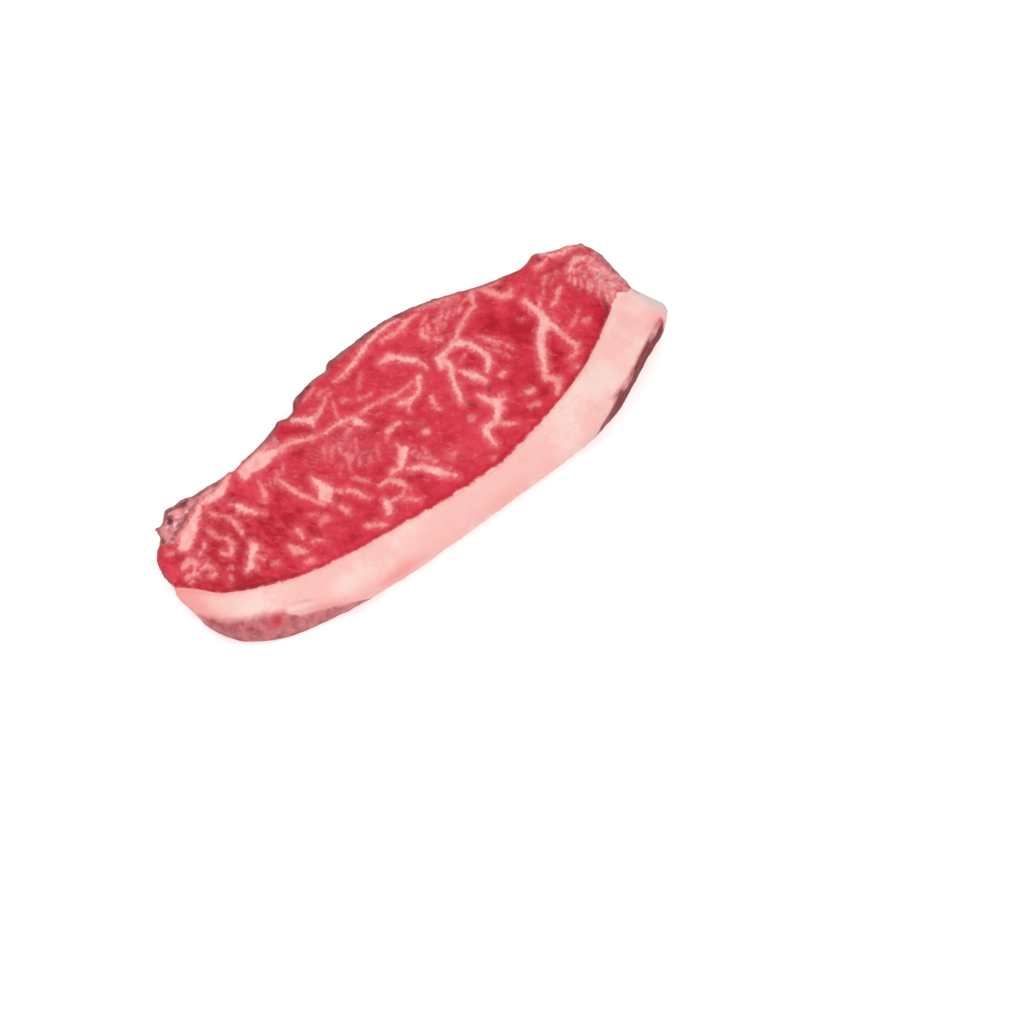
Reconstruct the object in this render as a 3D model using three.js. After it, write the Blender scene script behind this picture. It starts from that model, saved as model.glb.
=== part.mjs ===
import * as THREE from "three";

// A raw sirloin cap steak, cut across the muscle: a crescent of lean meat with its cap of fat along the
// outer curve. It lies on one cut face, with the other cut face up.
// Frame: millimetres. +X runs along the steak, from its thin tip to its blunt end, -Y is the fat side, and
// +Z is up from the lower cut face. The origin is under the middle of the steak.

// Driving dimensions of the whole steak
const THICKNESS = 20;
const END_THINNING = 0.9; // the relaxed ends are this much thinner than the middle
const HALF_LENGTH = 95;
const SEAM_GAP = 0.3; // left between the lean and the fat
const CAP_SHARE = 0.17; // of the steak's width, taken up by the fat

// The soft lower rim, how far the outside bulges between its two rims, and the heights of its facets
const LOWER_RIM_INSET = 1.8;
const INSET_SHARE = 0.4; // the most of the layer's width that the soft rim takes up
const INSET_REACH = 0.06; // the share of the length over which the ends are drawn in
const SIDE_BULGE = 0.7;
const SIDE_RINGS = [
  { height: 0.8, inset: 0.3 * LOWER_RIM_INSET },
  { height: 2.4, inset: 0 },
  { height: 7.5, inset: 0 },
  { height: 13, inset: 0 },
];

// How finely the solids are faceted: steps along the steak, across each layer, and over a rounded rim
const STEPS_ALONG = 76;
const LEAN_STEPS_ACROSS = 16;
const FAT_STEPS_ACROSS = 4;
const RIM_STEPS = [1, 0.6, 0.3, 0.1, 0]; // shares of the rounded width, from the flat to the very edge

// Outlines of the upper cut face, drawn to the widest part of the side, each from the tip to the blunt end
const SEAM_LINE = [
  [-94, 5.6], [-88.6, 0.6], [-82.5, -6], [-70, -12.8], [-55, -18.2], [-38, -21.2], [-20, -23.4], [-4, -25.4],
  [12, -26.2], [26, -24.6], [42, -21], [58, -16.2], [69, -10.8], [77, -6.2], [83.4, -3.2], [91, -3.2],
];
const FRONT_LINE = [
  [-94.6, 2.6], [-94.2, -3.4], [-91.6, -10.6], [-86.6, -16.4], [-78, -20.8], [-68, -25.2], [-56, -31],
  [-44, -35.6], [-28, -37.8], [-8, -38.5], [16, -38.4], [38, -37.8], [51, -35.9], [63, -31.8], [76, -25.9],
  [88, -20.3], [95.4, -16.6],
];
const BACK_LINE = [
  [-86.8, 26.6], [-79, 28.7], [-70, 28.2], [-57, 27.2], [-46, 28.4], [-36, 30.4], [-28, 32.2], [-20, 36],
  [-8, 38.3], [4, 39.9], [15, 40.5], [26, 38.5], [40, 33.9], [54, 29.3], [64, 27], [72, 27.2], [79, 25],
  [87.6, 22.2],
];
const BACK_NICKS = [
  { at: -56, out: -0.5, reach: 2.4 },
  { at: -32.8, out: 0.8, reach: 2.6 },
  { at: -28.8, out: -0.9, reach: 2.6 },
  { at: -10.8, out: -0.8, reach: 2.8 },
  { at: 65, out: -0.5, reach: 3 },
  { at: 71.4, out: 0.7, reach: 2.8 },
];
const LEAN_TIP_LINE = [
  [-94, 5.6], [-94.3, 10.6], [-93.6, 15], [-91.2, 18.3], [-88.4, 20], [-86.8, 23], [-86.8, 26.6],
];
const LEAN_BLUNT_LINE = [
  [91, -3.2], [90.6, 3], [90.3, 9.5], [89.8, 16], [87.6, 22.2],
];
const FAT_TIP_LINE = [
  [-94, 5.6], [-94.6, 2.6],
];
const FAT_BLUNT_LINE = [
  [91, -3.2], [92.2, -6.2], [94.2, -10.8], [95.4, -16.6],
];

// A value that changes smoothly along the steak, from [place, value] pairs, with x as the place
function alongSteak(stations) {
  const last = stations.length - 1;
  const slope = stations.map((_, i) => {
    if (i === 0 || i === last) return 0;
    const [a, b] = [stations[i - 1], stations[i + 1]];
    return (b[1] - a[1]) / (b[0] - a[0]);
  });
  return (x) => {
    const next = stations.findIndex(([place]) => x < place);
    if (next === 0) return stations[0][1];
    if (next < 0) return stations[last][1];
    const [x0, a] = stations[next - 1];
    const [x1, b] = stations[next];
    const t = (x - x0) / (x1 - x0);
    const start = a + slope[next - 1] * t * (x1 - x0);
    const end = b - slope[next] * (1 - t) * (x1 - x0);
    return THREE.MathUtils.lerp(start, end, THREE.MathUtils.smoothstep(t, 0, 1));
  };
}

// The rounding of the upper rim: how wide it is across the face, and how deep down the side
const frontRimWidth = alongSteak([[-90, 1.4], [-60, 1.8], [-40, 5.5], [40, 5.5], [56, 2], [80, 1.6]]);
const frontRimDepth = alongSteak([[-90, 1.4], [-60, 1.6], [-40, 3.2], [40, 3.2], [56, 2], [80, 1.6]]);
const backRimWidth = alongSteak([[-84, 6], [-60, 5.5], [-50, 2.6], [60, 2.6], [76, 4]]);
const backRimDepth = alongSteak([[-84, 4], [-60, 3.6], [-50, 2.2], [60, 2.2], [76, 3.2]]);
const LEAN_ENDS = { tip: { width: 2.6, depth: 2.2 }, blunt: { width: 6, depth: 4.2 } };
const FAT_ENDS = { tip: { width: 2.6, depth: 2.2 }, blunt: { width: 3, depth: 2.4 } };
const END_WIDTHS = { tip: 2.6, blunt: 6 }; // over which both layers are divided more finely

// How far the side leans in from the widest line down to the lower cut face; out where it is negative
const frontUndercut = alongSteak([
  [-94.6, 4.4], [-93, 3], [-88, 1], [-79, -1.7], [-69, -2.2], [-59, 0.2], [-46, 4], [-34, 6], [38, 6],
  [50, 3.2], [60, 1.4], [72, 0.6], [95, 0.6],
]);
const backUndercut = alongSteak([[-86, -1], [-60, -0.6], [-40, 1.6], [50, 2], [84, 0.6]]);
const END_UNDERCUTS = { tip: 4.2, blunt: 0.8, reach: 0.05 }; // reach is a share of the length

// What stands up from the upper cut face or sinks into it, as strokes along a short line: the rolled lip at
// the blunt end and the fold beside it, the two strips of membrane at the back, and a dent in the fat's edge
const FACE_STROKES = [
  { from: [68, 24.4], to: [84, 20.8], reach: 2.4, rise: 1 },
  { from: [69, 20.4], to: [84, 17.6], reach: 1.8, rise: -1 },
  { from: [-84, 15.6], to: [-68, 22.6], reach: 2.4, rise: 0.6 },
  { from: [-54, 23.6], to: [-42, 24.2], reach: 2.2, rise: 0.5 },
  { from: [-74.5, -23], to: [-73, -21.6], reach: 2, rise: -0.9 },
];

function spline(points) {
  const curve = new THREE.SplineCurve(points.map(([x, y]) => new THREE.Vector2(x, y)));
  curve.arcLengthDivisions = 600;
  return curve;
}

const seamLine = spline(SEAM_LINE);
const frontLine = spline(FRONT_LINE);
const backLine = spline(BACK_LINE);

function backPoint(u) {
  const p = backLine.getPointAt(u);
  for (const nick of BACK_NICKS) p.y += nick.out * Math.exp(-(((p.x - nick.at) / nick.reach) ** 2));
  return p;
}

// The seam, moved off its own line by half the gap, towards the back for the lean and the front for the fat
function seamPoint(u, side) {
  const tangent = seamLine.getTangentAt(u);
  const across = new THREE.Vector2(-tangent.y, tangent.x);
  return seamLine.getPointAt(u).addScaledVector(across, side * 0.5 * SEAM_GAP);
}

// A four-sided patch in plan: u runs along the steak and v across it, from the seam at 0 to the rim at 1
function planPatch(seam, rim, tip, blunt) {
  const corner = [[seam(0), rim(0)], [seam(1), rim(1)]];
  return (u, v) => {
    const p = new THREE.Vector2();
    p.addScaledVector(seam(u), 1 - v).addScaledVector(rim(u), v);
    p.addScaledVector(tip(v), 1 - u).addScaledVector(blunt(v), u);
    p.addScaledVector(corner[0][0], -(1 - u) * (1 - v)).addScaledVector(corner[0][1], -(1 - u) * v);
    return p.addScaledVector(corner[1][0], -u * (1 - v)).addScaledVector(corner[1][1], -u * v);
  };
}

// An end line whose first and last points are moved onto the corners that the patch has
function endLine(points, first, last) {
  const curve = spline([first.toArray(), ...points.slice(1, -1), last.toArray()]);
  return (v) => curve.getPointAt(v);
}

// Where the lower cut face lies from the upper one, in plan: share is 0 at the fat's rim and 1 at the back
function sideways(u, share) {
  const f = frontLine.getPointAt(u);
  const b = backLine.getPointAt(u);
  const ft = frontLine.getTangentAt(u);
  const bt = backLine.getTangentAt(u);
  const front = new THREE.Vector2(-ft.y, ft.x).multiplyScalar(frontUndercut(f.x));
  const back = new THREE.Vector2(bt.y, -bt.x).multiplyScalar(backUndercut(b.x));
  const moved = front.lerp(back, share);
  moved.x += END_UNDERCUTS.tip * share * (1 - THREE.MathUtils.smoothstep(u, 0, END_UNDERCUTS.reach));
  moved.x -= END_UNDERCUTS.blunt * THREE.MathUtils.smoothstep(u, 1 - END_UNDERCUTS.reach, 1);
  return moved;
}

// The height of the upper cut face away from its rim
function faceHeight(p) {
  let z = THICKNESS - END_THINNING * (Math.abs(p.x) / HALF_LENGTH) ** 3;
  z += 0.3 * Math.sin(p.x / 13 + 0.6) * Math.cos(p.y / 15) + 0.2 * Math.sin(p.x / 7.5 - p.y / 9);
  for (const stroke of FACE_STROKES) {
    const line = new THREE.Line3(
      new THREE.Vector3(...stroke.from, 0),
      new THREE.Vector3(...stroke.to, 0),
    );
    const flat = new THREE.Vector3(p.x, p.y, 0);
    const away = line.closestPointToPoint(flat, true, new THREE.Vector3()).distanceTo(flat);
    z += stroke.rise * Math.exp(-((away / stroke.reach) ** 2));
  }
  return z;
}

// One layer of the steak, closed: its upper face, its lower face, and the walls between them
class Layer {
  constructor({ plan, share, stepsAcross, rimWidth, rimDepth, ends }) {
    Object.assign(this, { plan, share, rimWidth, rimDepth, ends });
    this.length = seamLine.getLength();
    this.across = stepsAcross + RIM_STEPS.length - 1;
    this.positions = [];
    this.triangles = [];
    this.faces = { upper: this.addFace(true), lower: this.addFace(false) };
    this.addWalls();
  }

  // Shares of the length at which the face is divided: closer together over the rounded ends
  stations(upper) {
    const count = STEPS_ALONG;
    if (!upper) return Array.from({ length: count + 1 }, (_, i) => i / count);
    const start = RIM_STEPS.map((s) => (s * END_WIDTHS.tip) / this.length).reverse();
    const end = RIM_STEPS.map((s) => 1 - (s * END_WIDTHS.blunt) / this.length);
    const inner = count - start.length - end.length + 2;
    const first = start[start.length - 1];
    const middle = Array.from({ length: inner - 1 }, (_, i) => first + ((end[0] - first) * (i + 1)) / inner);
    return [...start, ...middle, ...end];
  }

  widthAt(u) {
    return this.plan(u, 0).distanceTo(this.plan(u, 1));
  }

  // The same across the layer, from the seam out to the rim
  divisions(u, upper) {
    const count = this.across;
    if (!upper) return Array.from({ length: count + 1 }, (_, j) => j / count);
    const width = this.widthAt(u);
    const rim = Math.min(this.rimWidth(this.plan(u, 1).x), 0.55 * width) / width;
    const inner = count - RIM_STEPS.length + 1;
    const flat = Array.from({ length: inner }, (_, j) => ((1 - rim) * j) / inner);
    return [...flat, ...RIM_STEPS.map((s) => 1 - s * rim)];
  }

  // The upper face's own height, rounded down towards every rim but the seam
  upperPoint(u, v) {
    const p = this.plan(u, v);
    const width = this.widthAt(u);
    const rim = this.plan(u, 1).x;
    const zones = [
      { away: (1 - v) * width, width: Math.min(this.rimWidth(rim), 0.55 * width), depth: this.rimDepth(rim) },
      { away: u * this.length, ...this.ends.tip },
      { away: (1 - u) * this.length, ...this.ends.blunt },
    ];
    let turn = 0;
    let depth = 0;
    for (const zone of zones) {
      const t = Math.max(0, 1 - zone.away / zone.width) ** 2;
      turn += t;
      depth += t * zone.depth;
    }
    const drop = turn > 0 ? (depth / turn) * (1 - Math.sqrt(Math.max(0, 1 - turn))) : 0;
    return new THREE.Vector3(p.x, p.y, faceHeight(p) - drop);
  }

  lowerPoint(u, v) {
    const p = this.plan(u, v).add(sideways(u, this.share(v)));
    return new THREE.Vector3(p.x, p.y, 0);
  }

  add(point) {
    this.positions.push(point.x, point.y, point.z);
    return this.positions.length / 3 - 1;
  }

  // The way in from the rim and from both ends: its length is 1 on them and less and less away from them, so
  // that rows of places which are moved along it keep their order
  inward(u, v) {
    const fromTip = Math.max(0, 1 - u / INSET_REACH) ** 2;
    const fromBlunt = Math.max(0, 1 - (1 - u) / INSET_REACH) ** 2;
    const way = this.plan(u, 0.8).sub(this.plan(u, 1)).setLength(v ** 2);
    way.add(this.plan(0.03, v).sub(this.plan(0, v)).setLength(fromTip));
    return way.add(this.plan(0.97, v).sub(this.plan(1, v)).setLength(fromBlunt));
  }

  addFace(upper) {
    const grid = this.stations(upper).map((u) =>
      this.divisions(u, upper).map((v) => {
        if (upper) return this.add(this.upperPoint(u, v));
        const inset = Math.min(LOWER_RIM_INSET, INSET_SHARE * this.widthAt(u));
        const rim = this.inward(u, v).multiplyScalar(inset);
        const p = this.lowerPoint(u, v);
        return this.add(new THREE.Vector3(p.x + rim.x, p.y + rim.y, 0));
      }),
    );
    for (let i = 0; i + 1 < grid.length; i++) {
      for (let j = 0; j + 1 < grid[i].length; j++) {
        const [a, b, c, d] = [grid[i][j], grid[i + 1][j], grid[i + 1][j + 1], grid[i][j + 1]];
        this.addQuad(...(upper === this.seamFirst() ? [a, b, c, d] : [a, d, c, b]));
      }
    }
    return grid;
  }

  // Whether v grows to the left of u in plan, as it does in the lean and not in the fat
  seamFirst() {
    const a = this.plan(0.5, 0);
    const along = this.plan(0.52, 0).sub(a);
    const over = this.plan(0.5, 1).sub(a);
    return along.cross(over) > 0;
  }

  addQuad(a, b, c, d) {
    this.triangles.push(a, b, c, a, c, d);
  }

  // The ring of places round the layer, as [step along, step across], in the order that u then v gives
  ring() {
    const last = STEPS_ALONG;
    const places = [];
    for (let i = 0; i < last; i++) places.push([i, 0]);
    for (let j = 0; j < this.across; j++) places.push([last, j]);
    for (let i = last; i > 0; i--) places.push([i, this.across]);
    for (let j = this.across; j > 0; j--) places.push([0, j]);
    return places;
  }

  vertex(index) {
    return new THREE.Vector3().fromArray(this.positions, 3 * index);
  }

  addWalls() {
    const even = this.stations(false);
    const { upper, lower } = this.faces;
    const columns = this.ring().map(([i, j]) => {
      const top = this.vertex(upper[i][j]);
      const foot = this.lowerPoint(even[i], j / this.across);
      const way = this.inward(even[i], j / this.across);
      const middle = SIDE_RINGS.map(({ height, inset }) => {
        const share = height / top.z;
        const p = foot.clone().lerp(top, share);
        const off = inset > 0 ? inset : -SIDE_BULGE * Math.sin(Math.PI * share);
        return this.add(new THREE.Vector3(p.x + way.x * off, p.y + way.y * off, height));
      });
      return [lower[i][j], ...middle, upper[i][j]];
    });
    columns.forEach((column, n) => {
      const next = columns[(n + 1) % columns.length];
      for (let k = 0; k + 1 < column.length; k++) {
        const quad = [column[k], next[k], next[k + 1], column[k + 1]];
        this.addQuad(...(this.seamFirst() ? quad : quad.reverse()));
      }
    });
  }

  geometry() {
    const made = new THREE.BufferGeometry();
    made.setAttribute("position", new THREE.Float32BufferAttribute(this.positions, 3));
    made.setIndex(this.triangles);
    made.computeVertexNormals();
    return made;
  }
}

function leanMeat() {
  const seam = (u) => seamPoint(u, 1);
  const tip = endLine(LEAN_TIP_LINE, seam(0), backPoint(0));
  const blunt = endLine(LEAN_BLUNT_LINE, seam(1), backPoint(1));
  const layer = new Layer({
    plan: planPatch(seam, backPoint, tip, blunt),
    share: (v) => CAP_SHARE + (1 - CAP_SHARE) * v,
    stepsAcross: LEAN_STEPS_ACROSS,
    rimWidth: backRimWidth,
    rimDepth: backRimDepth,
    ends: LEAN_ENDS,
  });
  return new THREE.Mesh(
    layer.geometry(),
    new THREE.MeshStandardMaterial({ color: 0xcf3848, roughness: 0.42, metalness: 0 }),
  );
}

function fatCap() {
  const seam = (u) => seamPoint(u, -1);
  const rim = (u) => frontLine.getPointAt(u);
  const tip = endLine(FAT_TIP_LINE, seam(0), rim(0));
  const blunt = endLine(FAT_BLUNT_LINE, seam(1), rim(1));
  const layer = new Layer({
    plan: planPatch(seam, rim, tip, blunt),
    share: (v) => CAP_SHARE * (1 - v),
    stepsAcross: FAT_STEPS_ACROSS,
    rimWidth: frontRimWidth,
    rimDepth: frontRimDepth,
    ends: FAT_ENDS,
  });
  return new THREE.Mesh(
    layer.geometry(),
    new THREE.MeshStandardMaterial({ color: 0xf8cac4, roughness: 0.5, metalness: 0 }),
  );
}

const steak = new THREE.Group();
const pieces = { lean_meat: leanMeat(), fat_cap: fatCap() };
for (const [name, mesh] of Object.entries(pieces)) {
  mesh.name = name;
  steak.add(mesh);
}
const middle = new THREE.Box3().setFromObject(steak).getCenter(new THREE.Vector3());
steak.position.set(-middle.x, -middle.y, 0);

export default steak;
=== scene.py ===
"""A raw sirloin cap steak, marbled lean meat with its cap of fat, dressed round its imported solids.

Lengths in the sub-assemblies are in millimetres, and places on the cut face are as drawn: x along the steak
from its thin tip to its blunt end, y across it towards the back. Meshes are in metres.
"""

import logging
import math
from dataclasses import dataclass, field
from enum import Enum
from typing import Iterable, Sequence

import bmesh
import bpy
import numpy as np
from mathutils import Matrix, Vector, noise
from mathutils.bvhtree import BVHTree
from mathutils.kdtree import KDTree


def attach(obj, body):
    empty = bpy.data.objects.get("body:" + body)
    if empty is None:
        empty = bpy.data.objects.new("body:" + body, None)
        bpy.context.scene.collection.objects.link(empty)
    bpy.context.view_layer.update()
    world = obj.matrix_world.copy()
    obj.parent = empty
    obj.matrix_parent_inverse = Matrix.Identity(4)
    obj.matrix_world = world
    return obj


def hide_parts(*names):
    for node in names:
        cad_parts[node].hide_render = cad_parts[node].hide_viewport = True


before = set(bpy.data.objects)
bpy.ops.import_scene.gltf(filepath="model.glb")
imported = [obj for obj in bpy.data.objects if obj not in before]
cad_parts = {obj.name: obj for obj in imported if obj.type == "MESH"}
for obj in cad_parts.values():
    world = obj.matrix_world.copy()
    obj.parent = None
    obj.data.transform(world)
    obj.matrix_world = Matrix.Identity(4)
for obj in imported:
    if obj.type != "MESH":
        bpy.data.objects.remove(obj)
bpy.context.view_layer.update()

LOG = logging.getLogger("steak")
MM = 0.001
DRAWN_CENTRE = (0.533, 1.001)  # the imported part's middle, among the drawn places
FARTHEST = 99.0  # distances to runs are measured up to this one
COUNTED = 9.0  # the finishes read distances up to this one
SHORTEST = 1e-9  # keeps the length of a single spot's line above nothing
SEED_STEP = 7.31  # how far apart in the noise two seeds are
SHARP = 0.5  # the crease above which an edge stays sharp

Socket = bpy.types.NodeSocket
Noises = Sequence[tuple[Socket, float]]
Place = tuple[float, float]
Span = tuple[float, float]
Step = tuple[float, float, float]
Colour = tuple[float, float, float]


def smoothstep(low: float, high: float, value: np.ndarray) -> np.ndarray:
    """A smooth change from 0 at low to 1 at high.

    Args:
        low: The value that gives 0.
        high: The value that gives 1; it may be the lower one.
        value: The values to change.

    Returns:
        An array of numbers from 0 to 1.
    """
    t = np.clip((value - low) / (high - low), 0.0, 1.0)
    return t * t * (3.0 - 2.0 * t)


def ripple(points: np.ndarray, size: float | Sequence[float], seed: float) -> np.ndarray:
    """Smooth seeded noise with bumps of a given size.

    Args:
        points: Places in millimetres, one a row.
        size: The bumps' size in millimetres, one number or one for each axis.
        seed: Tells this noise from the others.

    Returns:
        One value from about -1 to 1 for each place.
    """
    scaled = points / np.asarray(size, float)
    scaled[:, 2] += seed * SEED_STEP
    return np.array([noise.noise(p) for p in scaled.tolist()])


def from_line(xy: np.ndarray, start: Place, end: Place) -> tuple[np.ndarray, np.ndarray]:
    """Measures places from a straight line between two points.

    Args:
        xy: Places on the cut face, one a row.
        start: The line's first point.
        end: Its last one.

    Returns:
        The distance to the line, and the share of it up to its nearest point.
    """
    along = np.array([end[0] - start[0], end[1] - start[1]])
    away = xy - np.array(start)
    t = np.clip(away @ along / max(along @ along, SHORTEST), 0.0, 1.0)
    return np.linalg.norm(away - t[:, None] * along, axis=1), t


class Strength(Enum):
    """How strongly a run or an area shows."""

    FULL = 1.0
    SOFT = 0.72
    FAINT = 0.5


@dataclass(frozen=True)
class Streak:
    """A run of something along a line on the cut face, as (x, y, width) at each place."""

    line: tuple[Step, ...]
    strength: Strength = Strength.FULL

    def clearance(self, xy: np.ndarray) -> np.ndarray:
        """How far each place is outside the run.

        Args:
            xy: Places on the cut face, one a row.

        Returns:
            The distance to the run's edge, negative inside it.
        """
        nearest = np.full(len(xy), FARTHEST)
        ends = self.line if len(self.line) > 1 else self.line * 2
        for start, end in zip(ends, ends[1:]):
            gap, t = from_line(xy, start[:2], end[:2])
            nearest = np.minimum(nearest, gap - 0.5 * (start[2] + t * (end[2] - start[2])))
        return nearest


@dataclass(frozen=True)
class Patch:
    """An area on the cut face, inside a closed outline."""

    outline: tuple[Place, ...]
    strength: Strength = Strength.FULL

    def clearance(self, xy: np.ndarray) -> np.ndarray:
        """How far each place is outside the area.

        Args:
            xy: Places on the cut face, one a row.

        Returns:
            The distance to the outline, negative inside it.
        """
        nearest = np.full(len(xy), FARTHEST)
        inside = np.zeros(len(xy), bool)
        for (x0, y0), (x1, y1) in zip(self.outline, self.outline[1:] + self.outline[:1]):
            nearest = np.minimum(nearest, from_line(xy, (x0, y0), (x1, y1))[0])
            if y0 != y1:
                crosses = (y0 > xy[:, 1]) != (y1 > xy[:, 1])
                inside ^= crosses & (xy[:, 0] < x0 + (xy[:, 1] - y0) * (x1 - x0) / (y1 - y0))
        return np.where(inside, -nearest, nearest)


Mark = Streak | Patch


@dataclass(frozen=True)
class Cloud:
    """A soft oval zone on the cut face, fading out from its middle."""

    x: float
    y: float
    along: float
    across: float
    amount: float = 1.0
    turn: float = 0.0

    def cover(self, xy: np.ndarray) -> np.ndarray:
        """How much of the zone is at each place.

        Args:
            xy: Places on the cut face, one a row.

        Returns:
            The amount in the middle, falling to none outside.
        """
        c, s = math.cos(math.radians(self.turn)), math.sin(math.radians(self.turn))
        dx, dy = xy[:, 0] - self.x, xy[:, 1] - self.y
        along = (c * dx + s * dy) / self.along
        across = (c * dy - s * dx) / self.across
        return self.amount * np.exp(-(along**2 + across**2))


@dataclass(frozen=True)
class Push(Cloud):
    """A soft oval zone whose points are pushed sideways, for the small steps and swells of the rim."""

    dx: float = 0.0
    dy: float = 0.0

    def shift(self, xy: np.ndarray) -> np.ndarray:
        """How far each place is pushed.

        Args:
            xy: Places on the cut face, one a row.

        Returns:
            The push along x and y, in millimetres.
        """
        return self.cover(xy)[:, None] * np.array([self.dx, self.dy])


def full(*line: Step) -> Streak:
    """A run that shows fully."""
    return Streak(line)


def soft(*line: Step) -> Streak:
    """A run that shows softly."""
    return Streak(line, Strength.SOFT)


def faint(*line: Step) -> Streak:
    """A run that shows faintly."""
    return Streak(line, Strength.FAINT)


def clouds(*rows: Sequence[float]) -> tuple[Cloud, ...]:
    """Soft zones, each as its x, y, length and width, and its amount and turn where it has them."""
    return tuple(Cloud(*row) for row in rows)


def combed(start: Place, end: Place, count: int, length: float, turn: float, width: float,
           strength: Strength) -> tuple[Streak, ...]:
    """A row of short, nearly parallel strokes.

    Args:
        start: The middle of the first stroke.
        end: The middle of the last one.
        count: How many there are.
        length: How long each is.
        turn: Which way they run, in degrees from the steak's length.
        width: Their width.
        strength: How strongly they show.

    Returns:
        The strokes.
    """
    tip = 0.4 * width
    strokes = []
    for index in range(count):
        share = index / (count - 1)
        sway = math.sin(2.4 * index + start[0])
        x = start[0] + share * (end[0] - start[0])
        y = start[1] + share * (end[1] - start[1]) + 0.5 * sway
        way = math.radians(turn + 12.0 * sway)
        reach = 0.5 * length * (1.0 + 0.3 * math.sin(1.7 * index))
        dx, dy = reach * math.cos(way), reach * math.sin(way)
        strokes.append(Streak(((x - dx, y - dy, tip), (x, y, width), (x + dx, y + dy, tip)), strength))
    return tuple(strokes)


def nearest_run(marks: Iterable[Mark], xy: np.ndarray) -> tuple[np.ndarray, np.ndarray]:
    """The nearest of several runs and areas at each place.

    Args:
        marks: The runs and areas.
        xy: Places on the cut face, one a row.

    Returns:
        The distance to its edge, negative inside, and how strongly it shows.
    """
    clearance = np.full(len(xy), COUNTED)
    strength = np.zeros(len(xy))
    for mark in marks:
        gap = mark.clearance(xy)
        closer = gap < clearance
        clearance = np.where(closer, gap, clearance)
        strength = np.where(closer, mark.strength.value, strength)
    return clearance, strength


def clouded(zones: Iterable[Cloud], xy: np.ndarray) -> np.ndarray:
    """All the soft zones together at each place."""
    return sum((zone.cover(xy) for zone in zones), np.zeros(len(xy)))


SOFT, FAINT = Strength.SOFT, Strength.FAINT

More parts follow.
